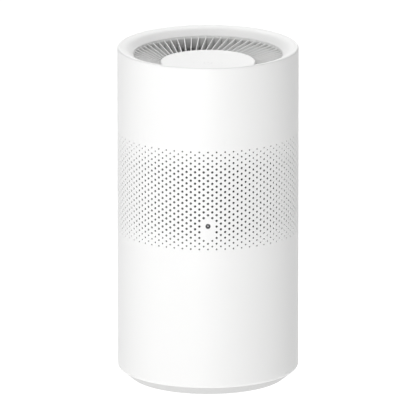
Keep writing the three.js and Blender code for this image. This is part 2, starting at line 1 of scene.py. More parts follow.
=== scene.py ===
"""The look of a cylindrical room air purifier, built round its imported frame.

Metres, +Z up, front towards -Y. The housing with its band of intake holes, the outlet with its
swirl blades and dished touch disc, the indicator, the base and the mains inlet are modelled here
and stand for their solids. The fan, motor, filter and electronics keep their solids, with a finish
each.
"""
import logging
import math
from dataclasses import dataclass, field
from enum import Enum
from typing import Callable, Iterable, Sequence

import bmesh
import bpy
from bmesh.types import BMEdge, BMFace, BMVert
from mathutils import Matrix, Vector


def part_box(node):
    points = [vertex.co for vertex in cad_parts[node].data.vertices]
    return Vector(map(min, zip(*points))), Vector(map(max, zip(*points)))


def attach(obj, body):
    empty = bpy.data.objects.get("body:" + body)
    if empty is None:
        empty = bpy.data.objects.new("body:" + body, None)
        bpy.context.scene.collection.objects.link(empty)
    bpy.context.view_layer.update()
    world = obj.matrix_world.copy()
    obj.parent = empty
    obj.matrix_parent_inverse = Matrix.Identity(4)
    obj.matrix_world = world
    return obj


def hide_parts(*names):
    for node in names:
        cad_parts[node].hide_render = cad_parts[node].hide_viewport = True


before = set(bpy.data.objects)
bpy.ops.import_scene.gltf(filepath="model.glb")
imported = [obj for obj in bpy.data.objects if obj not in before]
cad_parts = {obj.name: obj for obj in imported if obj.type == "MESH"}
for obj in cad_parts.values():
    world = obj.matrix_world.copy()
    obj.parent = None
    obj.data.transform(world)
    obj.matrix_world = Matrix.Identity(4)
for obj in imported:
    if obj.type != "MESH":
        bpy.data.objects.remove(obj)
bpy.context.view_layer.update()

LOG = logging.getLogger("purifier")
MM = 0.001

FULL_TURN = 2 * math.pi
MERGE = 1e-7  # metres within which vertices are one
CLOSE = 1e-5  # metres within which a vertex counts as being at a height
CREASE = 32.0  # degrees above which an edge stays sharp

Outline = list[tuple[float, float]]
Ring = list[BMEdge]
Verts = list[BMVert]
Colour = tuple[float, float, float]
Tint = Colour | bpy.types.NodeSocket


# ---------------------------------------------------------------- shader tools


def math_method(operation: str, swapped: bool = False) -> Callable[..., "Value"]:
    """Makes a method of Value that adds one Math node.

    Args:
        operation: What the node works out.
        swapped: Whether the method's argument comes before the value, as in a reflected operator.

    Returns:
        The method, which gives the node's result as a Value.
    """

    def method(value: "Value", *others: "Value | float") -> "Value":
        """Adds the node and returns its result."""
        operands = dict(enumerate((*others, value) if swapped else (value, *others)))
        return value.shader.value("ShaderNodeMath", {"operation": operation}, operands)

    return method


class Value:
    """A number in a shader. Python's operators on it add Math nodes, and so do its methods.

    size() drops its sign and sine() takes it as radians. over() is 1 where it is above the other
    number and 0 elsewhere, most() is the larger of the two, and angle() is the angle whose tangent
    is the one over the other.
    """

    __add__ = __radd__ = math_method("ADD")
    __sub__, __rsub__ = math_method("SUBTRACT"), math_method("SUBTRACT", swapped=True)
    __mul__ = __rmul__ = math_method("MULTIPLY")
    __pow__ = math_method("POWER")
    size, sine = math_method("ABSOLUTE"), math_method("SINE")
    over, most, angle = math_method("GREATER_THAN"), math_method("MAXIMUM"), math_method("ARCTAN2")

    def __init__(self, shader: "Shader", socket: bpy.types.NodeSocket) -> None:
        """Wraps a socket.

        Args:
            shader: The shader that the socket belongs to.
            socket: The output socket that gives the number.
        """
        self.shader = shader
        self.socket = socket

    def diagonal(self, other: "Value") -> "Value":
        """The distance across two distances at right angles."""
        return (self * self + other * other) ** 0.5

    def soft_step(self, low: float, high: float) -> "Value":
        """A smooth ramp from 0 at low to 1 at high.

        Args:
            low: Where the ramp starts.
            high: Where it ends.

        Returns:
            A Value from 0 to 1.
        """
        settings = {"interpolation_type": "SMOOTHSTEP"}
        ranges = {0: self, 1: low, 2: high, 3: 0.0, 4: 1.0}
        return self.shader.value("ShaderNodeMapRange", settings, ranges)


Link = Value | bpy.types.NodeSocket | float | tuple
Sockets = dict[int | str, Link]


class Shader:
    """The node tree of one material, with a Principled surface."""

    def __init__(self, name: str, constants: dict[str, float | tuple]) -> None:
        """Starts a material.

        Args:
            name: The material's name.
            constants: Principled sockets that are the same all over the surface, and their values.
        """
        self.material = bpy.data.materials.new(name)
        self.material.use_nodes = True
        self.tree = self.material.node_tree
        self.surface = self.tree.nodes["Principled BSDF"]
        for socket, constant in constants.items():
            self.surface.inputs[socket].default_value = constant
        self.place = self.node("ShaderNodeTexCoord", {}, {}).outputs["Object"]

    def node(self, kind: str, settings: dict[str, object], inputs: Sockets) -> bpy.types.Node:
        """Adds a node.

        Args:
            kind: The node's type.
            settings: The node's own properties, which are set first.
            inputs: What each input socket, by name or number, is set or linked to.

        Returns:
            The new node.
        """
        made = self.tree.nodes.new(kind)
        for setting, choice in settings.items():
            setattr(made, setting, choice)
        for key, source in inputs.items():
            self.join(source, made.inputs[key])
        return made

    def value(self, kind: str, settings: dict, inputs: Sockets, output: int | str = 0) -> Value:
        """Adds a node as node() does, and returns one of its outputs as a Value."""
        return Value(self, self.node(kind, settings, inputs).outputs[output])

    def join(self, source: Link, socket: bpy.types.NodeSocket) -> None:
        """Links a source to a socket, or sets the socket to a constant.

        Args:
            source: A Value or socket to link, or a constant to set.
            socket: The input socket.
        """
        if isinstance(source, Value):
            self.tree.links.new(source.socket, socket)
        elif isinstance(source, bpy.types.NodeSocket):
            self.tree.links.new(source, socket)
        else:
            socket.default_value = source

    def feed(self, socket: str, source: Link) -> None:
        """Joins a source to one of the surface's sockets."""
        self.join(source, self.surface.inputs[socket])

    def noise(self, grain: float, detail: float = 2.0, stretch: Colour = (1, 1, 1)) -> Value:
        """Noise over the surface.

        Args:
            grain: The size of its patches in metres.
            detail: How many finer layers it has.
            stretch: How far it is drawn out along each axis, as divisors of the position.

        Returns:
            A Value about 0.5.
        """
        divide = {"operation": "DIVIDE"}
        spread = self.node("ShaderNodeVectorMath", divide, {0: self.place, 1: stretch}).outputs[0]
        inputs = {0: spread, "Scale": 1 / grain, "Detail": detail, "Roughness": 0.55}
        return self.value("ShaderNodeTexNoise", {}, inputs)

    def cells(self, grain: float, feature: str = "F1") -> Value:
        """How far the surface lies from the middles, or the edges, of cells of a size in metres."""
        inputs = {"Vector": self.place, "Scale": 1 / grain}
        return self.value("ShaderNodeTexVoronoi", {"feature": feature}, inputs, "Distance")

    def axes(self) -> tuple[Value, Value, Value]:
        """The three coordinates of the position.

        Returns:
            X, Y and Z as Values.
        """
        split = self.node("ShaderNodeSeparateXYZ", {}, {0: self.place})
        x, y, z = (Value(self, output) for output in split.outputs)
        return x, y, z

    def blend(self, share: Link, low: Tint, high: Tint) -> bpy.types.NodeSocket:
        """A colour between two others, by a share from 0 to 1.

        Args:
            share: The share of the second colour.
            low: The colour at 0.
            high: The colour at 1.

        Returns:
            The colour's socket.
        """
        ends = [(*colour, 1.0) if isinstance(colour, tuple) else colour for colour in (low, high)]
        inputs = {0: share, 6: ends[0], 7: ends[1]}
        return self.node("ShaderNodeMix", {"data_type": "RGBA"}, inputs).outputs[2]

    def relief(self, height: Value, depth: float) -> None:
        """Raises the surface by a height of 0 to 1 times a depth in metres.

        Args:
            height: The height, from 0 to 1.
            depth: What a height of 1 is in metres.
        """
        inputs = {"Strength": 1.0, "Distance": depth, "Height": height}
        bump = self.node("ShaderNodeBump", {}, inputs)
        self.feed("Normal", bump.outputs[0])


def shade(colour: Colour, by: float) -> Colour:
    """A colour times a number, kept within 0 to 1."""
    red, green, blue = (min(1.0, part * by) for part in colour)
    return red, green, blue


# ---------------------------------------------------------------- finishes


@dataclass(frozen=True)
class Finish:
    """What every finish has.

    Attributes:
        name: The name of its material.
        slot: The record's slot that it stands for; not used.
        colour: Its main colour, linear.
        roughness: Its mean roughness.
    """

    name: str
    slot: str
    colour: Colour
    roughness: float

    def constants(self) -> dict[str, float | tuple]:
        """The Principled sockets that don't vary."""
        return {"IOR": 1.49}

    def dress(self, shader: Shader) -> None:
        """Adds the finish's nodes to a shader."""
        raise NotImplementedError

    def material(self) -> bpy.types.Material:
        """The finish's material, made the first time it is asked for.

        Returns:
            The material.
        """
        if self.name in bpy.data.materials:
            return bpy.data.materials[self.name]
        shader = Shader(self.name, self.constants())
        self.dress(shader)
        return shader.material


@dataclass(frozen=True)
class Moulded(Finish):
    """Moulded plastic with a fine spark-eroded grain.

    Attributes:
        grain: The size of the grain in metres.
        depth: The depth of the grain in metres.
        tone: How far the colour drifts over the piece.
    """

    grain: float = 0.0006
    depth: float = 0.000012
    tone: float = 0.02

    def tint(self, shader: Shader, drift: Value) -> Tint:
        """The colour, which drifts a little over the piece."""
        return shader.blend(drift, shade(self.colour, 1 - self.tone), self.colour)

    def dress(self, shader: Shader) -> None:
        """Adds grain, a slow drift of tone and a slightly uneven sheen.

        Args:
            shader: The shader that gets the nodes.
        """
        drift = shader.noise(0.05, 3.0)
        grain = shader.noise(self.grain, 2.0)
        shader.feed("Base Color", self.tint(shader, drift))
        shader.feed("Roughness", self.roughness + (drift - 0.5) * 0.08 + (grain - 0.5) * 0.06)
        shader.relief(grain, self.depth)


@dataclass(frozen=True)
class TouchSurface(Moulded):
    """The disc's smooth plastic with a faint printed touch symbol in the middle.

    Attributes:
        ink: The colour of the print.
        reach: The outer radius of the print in metres.
    """

    ink: Colour = (0.55, 0.55, 0.55)
    reach: float = 0.0048

    def tint(self, shader: Shader, drift: Value) -> Tint:
        """The plain plastic with the print over it: an open ring, a bar in its gap and two dots.

        Args:
            shader: The shader that gets the nodes.
            drift: The slow drift of tone over the piece, about 0.5.

        Returns:
            The colour, or the socket that gives it.
        """
        x, y, _ = shader.axes()
        radius = x.diagonal(y)
        line = self.reach * 0.13
        ring = 1.0 - (radius - self.reach).size().over(line)
        gap = y.over(self.reach * 0.72)
        stretch = y.over(self.reach * 0.35) * (1.0 - y.over(self.reach * 1.25))
        bar = (1.0 - x.size().over(line)) * stretch
        aside = x.size() - self.reach * 3.4
        dots = 1.0 - aside.diagonal(y).over(line * 1.8)
        mark = (ring * (1.0 - gap)).most(bar).most(dots) * 0.3
        return shader.blend(mark, super().tint(shader, drift), self.ink)


@dataclass(frozen=True)
class Pierced(Moulded):
    """Moulded plastic with painted shade: its fine holes and the inside of its band darken inwards.

    Attributes:
        skin: The radius of its outer surface in metres.
        band: The lowest and highest holes, in metres.
        lit: How deep in a hole the plastic still has its own colour, in metres.
        dark: How deep in a hole it is darkest, in metres.
        shadow: The colour of the painted shade where it is darkest.
    """

    skin: float = 0.1
    band: tuple[float, float] = (0.0, 0.0)
    lit: float = 0.0011
    dark: float = 0.0017
    shadow: Colour = (0.012, 0.012, 0.012)

    def tint(self, shader: Shader, drift: Value) -> Tint:
        """The plain colour with painted shade: darker where the surface lies below the skin within
        the band.

        Args:
            shader: The shader that gets the nodes.
            drift: The slow drift of tone over the piece, about 0.5.

        Returns:
            The colour, or the socket that gives it.
        """
        x, y, z = shader.axes()
        depth = self.skin - x.diagonal(y)
        low, high = self.band
        # Painted shade: the colour falls to the shadow colour with depth below the skin, in the
        # holes and on the band's inside.
        share = depth.soft_step(self.lit, self.dark) * z.over(low) * (1.0 - z.over(high))
        return shader.blend(share, super().tint(shader, drift), self.shadow)


@dataclass(frozen=True)
class Sunken(Moulded):
    """Moulded plastic of blades in a round well, with painted shade below their edges and near the
    wall.

    Attributes:
        wall: The radius of the well's wall in metres.
        top: The height of the blades' upper edges at the wall, in metres.
        slope: How steeply the upper edges fall inwards.
        dim: The share of the colour that the painted shade leaves below the upper edges.
        wall_dim: The share that the painted shade leaves there at the wall.
    """

    wall: float = 0.1
    top: float = 0.0
    slope: float = 0.0
    dim: float = 0.93
    wall_dim: float = 0.68

    def tint(self, shader: Shader, drift: Value) -> Tint:
        """The plain colour with painted shade, by how far the surface lies below the upper edges.

        Args:
            shader: The shader that gets the nodes.
            drift: The slow drift of tone over the piece, about 0.5.

        Returns:
            The colour, or the socket that gives it.
        """
        x, y, z = shader.axes()
        radius = x.diagonal(y)
        # Painted shade: darker below the blades' upper edges, and darker still near the well's
        # wall.
        below = (self.top - (self.wall - radius) * self.slope - z).soft_step(0.5 * MM, 2.5 * MM)
        near_wall = radius.soft_step(self.wall - 9 * MM, self.wall)
        plain = super().tint(shader, drift)
        open_shade, wall_shade = (shade(self.colour, by) for by in (self.dim, self.wall_dim))
        painted_shade = shader.blend(near_wall, open_shade, wall_shade)
        return shader.blend(below, plain, painted_shade)


@dataclass(frozen=True)
class Rubber(Finish):
    """Dull rubber with a fine bloom."""

    def dress(self, shader: Shader) -> None:
        """Adds bloom and a pitted surface.

        Args:
            shader: The shader that gets the nodes.
        """
        bloom = shader.noise(0.004, 3.0)
        pits = shader.cells(0.0009)
        dull, pale = shade(self.colour, 0.8), shade(self.colour, 1.15)
        shader.feed("Base Color", shader.blend(bloom, dull, pale))
        shader.feed("Roughness", self.roughness + (bloom - 0.5) * 0.12)
        shader.relief(pits, 0.00003)


class Lay(Enum):
    """How the machining marks of a metal run."""

    ROUND = "round"
    STACKED = "stacked"
    WOUND = "wound"


@dataclass(frozen=True)
class Metal(Finish):
    """Machined or rolled metal.

    Attributes:
        lay: How its marks run.
        step: The distance between marks in metres.
    """

    lay: Lay = Lay.ROUND
    step: float = 0.0004

    def constants(self) -> dict[str, float | tuple]:
        """Metal all over."""
        return {"Metallic": 1.0}

    def dress(self, shader: Shader) -> None:
        """Adds marks along the lay, and smudges.

        Args:
            shader: The shader that gets the nodes.
        """
        x, y, z = shader.axes()
        radius = x.diagonal(y)
        along = {Lay.ROUND: radius + z, Lay.STACKED: z, Lay.WOUND: z + radius * 0.5}[self.lay]
        marks = (along * (2 * math.pi / self.step)).sine() * 0.5 + 0.5
        smudge = shader.noise(0.006, 3.0)
        share = marks * 0.5 + smudge * 0.5
        shader.feed("Base Color", shader.blend(share, shade(self.colour, 0.7), self.colour))
        shader.feed("Roughness", self.roughness + (smudge - 0.5) * 0.15)
        shader.relief(marks, self.step * 0.12)


@dataclass(frozen=True)
class Board(Finish):
    """A circuit board: solder mask over tracks, with bare pads."""

    def dress(self, shader: Shader) -> None:
        """Adds tracks as raised lines between cells, and pads at some of their middles.

        Args:
            shader: The shader that gets the nodes.
        """
        edges = shader.cells(0.0042, "DISTANCE_TO_EDGE")
        tracks = 1.0 - edges.soft_step(0.05, 0.09)
        pads = 1.0 - shader.cells(0.0042).over(0.14)
        mask = shader.blend(tracks, self.colour, shade(self.colour, 1.9))
        shader.feed("Base Color", shader.blend(pads, mask, (0.55, 0.5, 0.36)))
        shader.feed("Metallic", pads * 0.9)
        shader.feed("Roughness", self.roughness - pads * 0.12)
        shader.relief(tracks.most(pads), 0.00004)


@dataclass(frozen=True)
class Fibrous(Finish):
    """Paper, felt or foam: a mat of fibres or cells.

    Attributes:
        fibre: The width of a fibre or cell in metres.
        depth: The depth of the mat's relief in metres.
    """

    fibre: float = 0.0008
    depth: float = 0.00012

    def dress(self, shader: Shader) -> None:
        """Adds two crossing sets of fibres.

        Args:
            shader: The shader that gets the nodes.
        """
        across = shader.noise(self.fibre, 2.0, (6.0, 1.0, 1.0))
        along = shader.noise(self.fibre, 2.0, (1.0, 1.0, 6.0))
        mat = across.most(along)
        share = mat.soft_step(0.35, 0.75)
        shader.feed("Base Color", shader.blend(share, shade(self.colour, 0.8), self.colour))
        shader.feed("Roughness", self.roughness + (mat - 0.5) * 0.1)
        shader.relief(mat, self.depth)


@dataclass(frozen=True)
class Net(Finish):
    """A fine woven net or ribbon.

    Attributes:
        mesh: The distance from thread to thread in metres.
        girth: The radius that the threads run round, in metres.
    """

    mesh: float = 0.0016
    girth: float = 0.08

    def dress(self, shader: Shader) -> None:
        """Adds threads up the piece and round it.

        Args:
            shader: The shader that gets the nodes.
        """
        x, y, z = shader.axes()
        turn = 2 * math.pi / self.mesh
        round_it = (x.angle(y) * (self.girth * turn)).sine().size()
        up_it = (z * turn).sine().size()
        threads = round_it.most(up_it)
        shader.feed("Base Color", shader.blend(threads, shade(self.colour, 0.45), self.colour))
        shader.feed("Roughness", self.roughness - threads * 0.1)
        shader.relief(threads, 0.00018)


@dataclass(frozen=True)
class Granules(Finish):
    """Loose black granules, with painted shade between them and a painted highlight on their
    middles.

    Attributes:
        grain: The size of a granule in metres.
    """

    grain: float = 0.0022

    def dress(self, shader: Shader) -> None:
        """Adds granules with painted shade between them, a painted highlight on their middles, and
        a faint glint.

        Args:
            shader: The shader that gets the nodes.
        """
        lumps = 1.0 - shader.cells(self.grain)
        # Painted shade and highlight: the colour is darker between granules and paler at their
        # middles.
        low, high = shade(self.colour, 0.4), shade(self.colour, 2.2)
        shader.feed("Base Color", shader.blend(lumps, low, high))
        shader.feed("Roughness", self.roughness - lumps * 0.25)
        shader.relief(lumps, 0.0006)


@dataclass(frozen=True)
class Polished(Finish):
    """A polished clear or smoked plastic with a painted highlight, paler towards its middle.

    Attributes:
        centre: Where the painted highlight's middle lies, in metres.
        reach: The radius of the painted highlight in metres.
        highlight: How much paler the painted highlight makes the middle, as a factor.
    """

    centre: tuple[float, float, float] = (0.0, 0.0, 0.0)
    reach: float = 0.001
    glow: float = 1.0

    def constants(self) -> dict[str, float | tuple]:
        """A clear coat over the colour."""
        return {"IOR": 1.52, "Coat Roughness": 0.04}

    def dress(self, shader: Shader) -> None:
        """Adds the painted highlight in the middle, and faint wipe marks in the gloss.

        Args:
            shader: The shader that gets the nodes.
        """
        vector, ends = "ShaderNodeVectorMath", {0: shader.place, 1: self.centre}
        offset = shader.node(vector, {"operation": "SUBTRACT"}, ends).outputs[0]
        away = shader.value(vector, {"operation": "LENGTH"}, {0: offset}, "Value")
        # Painted highlight: the colour is paler round the centre.
        middle = 1.0 - away.soft_step(self.reach * 0.6, self.reach * 1.3)
        wipe = shader.noise(0.0015, 2.0, (1.0, 1.0, 4.0))
        shader.feed("Base Color", shader.blend(middle, self.colour, shade(self.colour, self.glow)))
        shader.feed("Roughness", self.roughness + wipe * 0.06)
        shader.feed("Coat Weight", 0.3 + wipe * 0.4)


INDICATOR_HEIGHT = sum(corner.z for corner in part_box("indicator_lens")) / 2
INDICATOR_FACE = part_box("indicator_bezel")[0].y

HOUSING_WHITE = Moulded("housing_white", "white_plastic", (0.86, 0.86, 0.855), 0.42)
# The housing's white with painted shade in its intake holes.
PIERCED_WHITE = Pierced(
    "pierced_white_painted_shade",
    "white_plastic",
    HOUSING_WHITE.colour,
    HOUSING_WHITE.roughness,
    skin=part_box("outer_shell")[1].x,
    band=(174 * MM, 298 * MM),
)
DISC_WHITE = TouchSurface(
    "disc_white", "disc_plastic", (0.88, 0.88, 0.875), 0.3,
    grain=0.0004, depth=0.000004,
)
WELL_RADIUS = 86.3 * MM
BLADE_SLOPE = 0.32
BLADE_DROP = 0.4 * MM
# The grille's white with painted shade down in the well.
BLADE_WHITE = Sunken(
    "blade_white_painted_shade",
    "grille_plastic",
    (0.82, 0.82, 0.815),
    0.45,
    grain=0.0008,
    wall=WELL_RADIUS,
    top=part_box("outlet_grille")[1].z - BLADE_DROP,
    slope=BLADE_SLOPE,
)
BASE_GREY = Moulded(
    "base_grey", "base_plastic", (0.62, 0.62, 0.615), 0.5,
    grain=0.0007, depth=0.00002,
)
INNER_GREY = Moulded(
    "inner_grey", "inner_plastic", (0.5, 0.505, 0.51), 0.55,
    grain=0.0012, depth=0.00002,
)
CHARCOAL = Moulded(
    "charcoal", "dark_plastic", (0.035, 0.036, 0.038), 0.42,
    grain=0.0007, depth=0.000015,
)
# The indicator lens, with a painted highlight in its middle.
SMOKED_LENS = Polished(
    "smoked_lens",
    "dark_lens",
    (0.1, 0.1, 0.102),
    0.1,
    centre=(0.0, INDICATOR_FACE, INDICATOR_HEIGHT),
    reach=0.0011,
    glow=3.2,
)
CLEAR_GUIDE = Polished(
    "clear_guide", "clear_plastic", (0.78, 0.8, 0.82), 0.12,
    reach=0.02, glow=1.1,
)
FOOT_RUBBER = Rubber("foot_rubber", "foot_rubber", (0.27, 0.275, 0.28), 0.8)
GASKET_FOAM = Fibrous(
    "gasket_foam", "gasket_foam", (0.16, 0.165, 0.17), 0.95,
    fibre=0.0011, depth=0.0003,
)
FILTER_PAPER = Fibrous("filter_paper", "filter_paper", (0.86, 0.84, 0.79), 0.9)
FILTER_NET = Net("filter_net", "filter_net", (0.72, 0.75, 0.77), 0.8)
# The screen's black is painted shade for the inside of the housing behind the intake holes.
SCREEN_MESH = Net(
    "black_screen_painted_shade", "screen_mesh", (0.012, 0.012, 0.012), 0.9,
    mesh=0.0008, girth=0.103,
)
CARBON = Granules("carbon_granules", "carbon", (0.022, 0.022, 0.023), 0.85)
RIBBON = Net("woven_ribbon", "ribbon", (0.78, 0.78, 0.76), 0.85, mesh=0.0009, girth=0.02)
CIRCUIT = Board("circuit_board", "circuit_board", (0.014, 0.1, 0.042), 0.4)
STEEL = Metal("bright_steel", "steel", (0.6, 0.61, 0.63), 0.3)
BRASS = Metal("turned_brass", "brass", (0.6, 0.38, 0.12), 0.3)
COPPER = Metal("enamelled_copper", "copper", (0.5, 0.17, 0.05), 0.35, lay=Lay.WOUND, step=0.0007)
LAMINATION = Metal(
    "laminated_steel", "laminated_steel", (0.2, 0.205, 0.22), 0.45,
    lay=Lay.STACKED, step=0.001,
)
LEAD_SLEEVE = Rubber("lead_sleeve", "lead_sleeve", (0.7, 0.7, 0.68), 0.5)

FINISHED_SOLIDS: dict[Finish, tuple[str, ...]] = {
    INNER_GREY: ("control_pod", "lock_ring", "fan_deck", "fan_duct", "motor_bridge")
    + ("filter_top_cap", "filter_bottom_cap", "sensor_bracket"),
    CIRCUIT: ("touch_board", "main_board", "motor_board", "indicator_board", "power_board"),
    STEEL: tuple(f"duct_screw_{number}" for number in range(1, 5))
    + tuple(f"motor_screw_{number}" for number in range(1, 4))
    + ("rotor_can", "motor_shaft", "lower_bearing", "upper_bearing"),
    CHARCOAL: ("impeller", "magnet_ring", "particle_sensor", "power_cover"),
    CLEAR_GUIDE: ("light_guide",),
    LAMINATION: ("stator_core",),
    COPPER: ("stator_windings",),
    BRASS: ("bearing_tube",),
    FILTER_PAPER: ("filter_pleats",),
    FILTER_NET: ("filter_outer_net",),
    CARBON: ("filter_carbon_core",),
    GASKET_FOAM: ("filter_gasket",),
    RIBBON: ("pull_ribbon",),
    LEAD_SLEEVE: ("power_lead",),
}


# ---------------------------------------------------------------- modelling tools


@dataclass(frozen=True)
class Corner:
    """A corner of an outline in the plane of radius and height, in metres.

    Attributes:
        radius: The distance from the axis.
        height: The height.
        rounding: The radius of its rounding, or 0 for a sharp corner.
    """

    radius: float
    height: float
    rounding: float = 0.0


def outline(corners: Sequence[Corner], closed: bool = True, steps: int = 5) -> Outline:
    """Turns corners into points, each rounded corner as an arc.

    Args:
        corners: The corners in order.
        closed: Whether the last corner is followed by the first. An open outline's ends stay sharp.
        steps: How many pieces each arc has.

    Returns:
        The points as (radius, height).
    """
    points: Outline = []
    count = len(corners)
    for index, corner in enumerate(corners):
        here = Vector((corner.radius, corner.height))
        at_end = not closed and index in (0, count - 1)
        if corner.rounding == 0 or at_end:
            points.append((here.x, here.y))
            continue
        before, after = corners[index - 1], corners[(index + 1) % count]
        back = (Vector((before.radius, before.height)) - here).normalized()
        ahead = (Vector((after.radius, after.height)) - here).normalized()
        half = back.angle(ahead) / 2
        reach = corner.rounding / math.tan(half)
        centre = here + (back + ahead).normalized() * (corner.rounding / math.sin(half))
        start, end = here + back * reach - centre, here + ahead * reach - centre
        turn = start.angle_signed(end)
        for step in range(steps + 1):
            spoke = start.copy()
            spoke.rotate(Matrix.Rotation(-turn * step / steps, 2))
            points.append(tuple(centre + spoke))
    return points


def edges_of(parts: Iterable[BMVert | BMFace]) -> Ring:
    """The edges that some vertices or faces have, each once.

    Args:
        parts: The vertices or faces.

    Returns:
        The edges.
    """
    found: dict[BMEdge, None] = {}
    for part in parts:
        found.update(dict.fromkeys(part.link_edges if isinstance(part, BMVert) else part.edges))
    return list(found)


def faces_of(verts: Iterable[BMVert]) -> list[BMFace]:
    """The faces at some vertices, each once."""
    return list(dict.fromkeys(face for vert in verts for face in vert.link_faces))


class Workpiece:
    """A piece being modelled: a bmesh and the operations that the pieces share."""

    def __init__(self, name: str) -> None:
        """Starts an empty piece with a name."""
        self.name = name
        self.bm = bmesh.new()

    def since(self, known: set[BMVert]) -> Verts:
        """The vertices that aren't in a set of known ones."""
        return [vert for vert in self.bm.verts if vert not in known]

    def merge(self, verts: Iterable[BMVert], within: float = MERGE) -> None:
        """Merges the vertices that lie within a distance of each other."""
        bmesh.ops.remove_doubles(self.bm, verts=list(verts), dist=within)

    def spin(self, geometry: list, angle: float, steps: int, **options: bool) -> None:
        """Turns geometry about the Z axis.

        Args:
            geometry: What is turned.
            angle: How far, in radians.
            steps: In how many steps.
            options: The operator's own switches.
        """
        axis = {"cent": (0, 0, 0), "axis": (0, 0, 1)}
        bmesh.ops.spin(self.bm, geom=geometry, angle=angle, steps=steps, **axis, **options)

    def soften(self, geometry: list, offset: float, segments: int, affect: str = "EDGES") -> None:
        """Rounds edges, or the corners of a flat shape.

        Args:
            geometry: The edges, or the vertices.
            offset: How far from the edge the rounding starts.
            segments: How many pieces it has.
            affect: EDGES or VERTICES.
        """
        rounding = {"offset": offset, "segments": segments, "affect": affect}
        bmesh.ops.bevel(self.bm, geom=geometry, profile=0.5, material=-1, **rounding)

    def turn(self, points: Outline, steps: int, closed: bool = True) -> Verts:
        """Turns an outline a full circle about the Z axis.

        Args:
            points: The outline as (radius, height).
            steps: How many steps the circle has.
            closed: Whether the outline's last point joins its first.

        Returns:
            The new vertices.
        """
        known = set(self.bm.verts)
        made = [self.bm.verts.new((radius, 0, height)) for radius, height in points]
        pairs = zip(made, made[1:] + made[:1] if closed else made[1:])
        edges = [self.bm.edges.new(pair) for pair in pairs]
        self.spin(made + edges, FULL_TURN, steps, use_merge=True)
        self.merge(self.since(known))
        return self.since(known)

    def ring(self, radius: float, height: float, steps: int) -> Ring:
        """Adds a level circle of edges about the Z axis."""
        place = Matrix.Translation((0, 0, height))
        return edges_of(self.circle(radius, steps, place))

    def circle(self, radius: float, steps: int, place: Matrix, filled: bool = False) -> list:
        """Adds a circle.

        Args:
            radius: Its radius.
            steps: How many sides it has.
            place: Where it goes.
            filled: Whether it gets a face.

        Returns:
            Its vertices.
        """
        shape = {"segments": steps, "radius": radius, "cap_ends": filled}
        return bmesh.ops.create_circle(self.bm, matrix=place, **shape)["verts"]

    def slab(self, width: float, depth: float, corner: float, place: Matrix) -> Ring:
        """Adds the edges of a rectangle with round corners.

        Args:
            width: Its size along its own X.
            depth: Its size along its own Y.
            corner: The radius of its corners.
            place: Where it goes.

        Returns:
            Its edges.
        """
        cells = {"x_segments": 1, "y_segments": 1, "size": 0.5}
        size = Matrix.Diagonal((width, depth, 1, 1))
        made = bmesh.ops.create_grid(self.bm, matrix=place @ size, **cells)["verts"]
        known = set(self.bm.verts) - set(made)
        self.soften(made, corner, 6, "VERTICES")
        faces = faces_of(self.since(known))
        edges = edges_of(faces)
        bmesh.ops.delete(self.bm, geom=faces, context="FACES_ONLY")
        return edges

    def extend(self, ring: Ring, move: Callable[[Vector], Vector]) -> Ring:
        """Extrudes a loop of edges and moves the new vertices.

        Args:
            ring: The loop's edges.
            move: Gives a new vertex's place from its old one.

        Returns:
            The new loop's edges.
        """
        made = bmesh.ops.extrude_edge_only(self.bm, edges=ring)["geom"]
        verts = {item for item in made if isinstance(item, BMVert)}
        for vert in verts:
            vert.co = move(vert.co)
        edges = [item for item in made if isinstance(item, BMEdge)]
        return [edge for edge in edges if all(vert in verts for vert in edge.verts)]

    def follow(self, ring: Ring, points: Outline) -> Ring:
        """Extrudes a ring about the Z axis from point to point of an outline.

        Args:
            ring: The first ring's edges.
            points: The outline as (radius, height).

        Returns:
            The last ring's edges.
        """
        for radius, height in points:

            def to_point(place: Vector, radius: float = radius, height: float = height) -> Vector:
                """The place on the ring of that radius and height, at the same angle."""
                flat = place.xy.normalized() * radius
                return Vector((flat.x, flat.y, height))

            ring = self.extend(ring, to_point)
        return ring

    def fill(self, edges: Iterable[BMEdge]) -> list[BMFace]:
        """Fills a flat area between loops of edges.

        Args:
            edges: The loops' edges.

        Returns:
            The new faces.
        """
        switches = {"use_beauty": True, "use_dissolve": False}
        made = bmesh.ops.triangle_fill(self.bm, edges=list(edges), **switches)
        return [item for item in made["geom"] if isinstance(item, BMFace)]

    def face_outward(self) -> None:
        """Turns every face of an open skin round the Z axis to face away from the axis."""
        bmesh.ops.recalc_face_normals(self.bm, faces=self.bm.faces[:])
        face = next(iter(self.bm.faces))
        if face.normal.xy.dot(face.calc_center_median().xy) < 0:
            bmesh.ops.reverse_faces(self.bm, faces=self.bm.faces[:])

    def sharp_edges(self, lies_there: Callable[[BMVert], bool]) -> Ring:
        """The sharp edges between two faces whose vertices both pass a test.

        Args:
            lies_there: Whether a vertex passes.

        Returns:
            The edges.
        """
        edges = [edge for edge in self.bm.edges if len(edge.link_faces) == 2]
        sharp = [edge for edge in edges if edge.calc_face_angle() > 1.2]
        return [edge for edge in sharp if all(map(lies_there, edge.verts))]

    def bridge(self, *rings: Ring) -> None:
        """Joins two loops of edges with faces."""
        bmesh.ops.bridge_loops(self.bm, edges=[edge for ring in rings for edge in ring])

    def whole(self, verts: Verts) -> list:
        """Some vertices with their edges and faces."""
        return verts + edges_of(verts) + faces_of(verts)

    def copies(self, geometry: list, count: int, total: int | None = None) -> None:
        """Repeats geometry about the Z axis.

        Args:
            geometry: What is repeated.
            count: How many there are in the end, with the first.
            total: How many would fill the circle, if that isn't count.
        """
        angle = FULL_TURN * (count - 1) / (total or count)
        self.spin(geometry, angle, count - 1, use_duplicate=True)

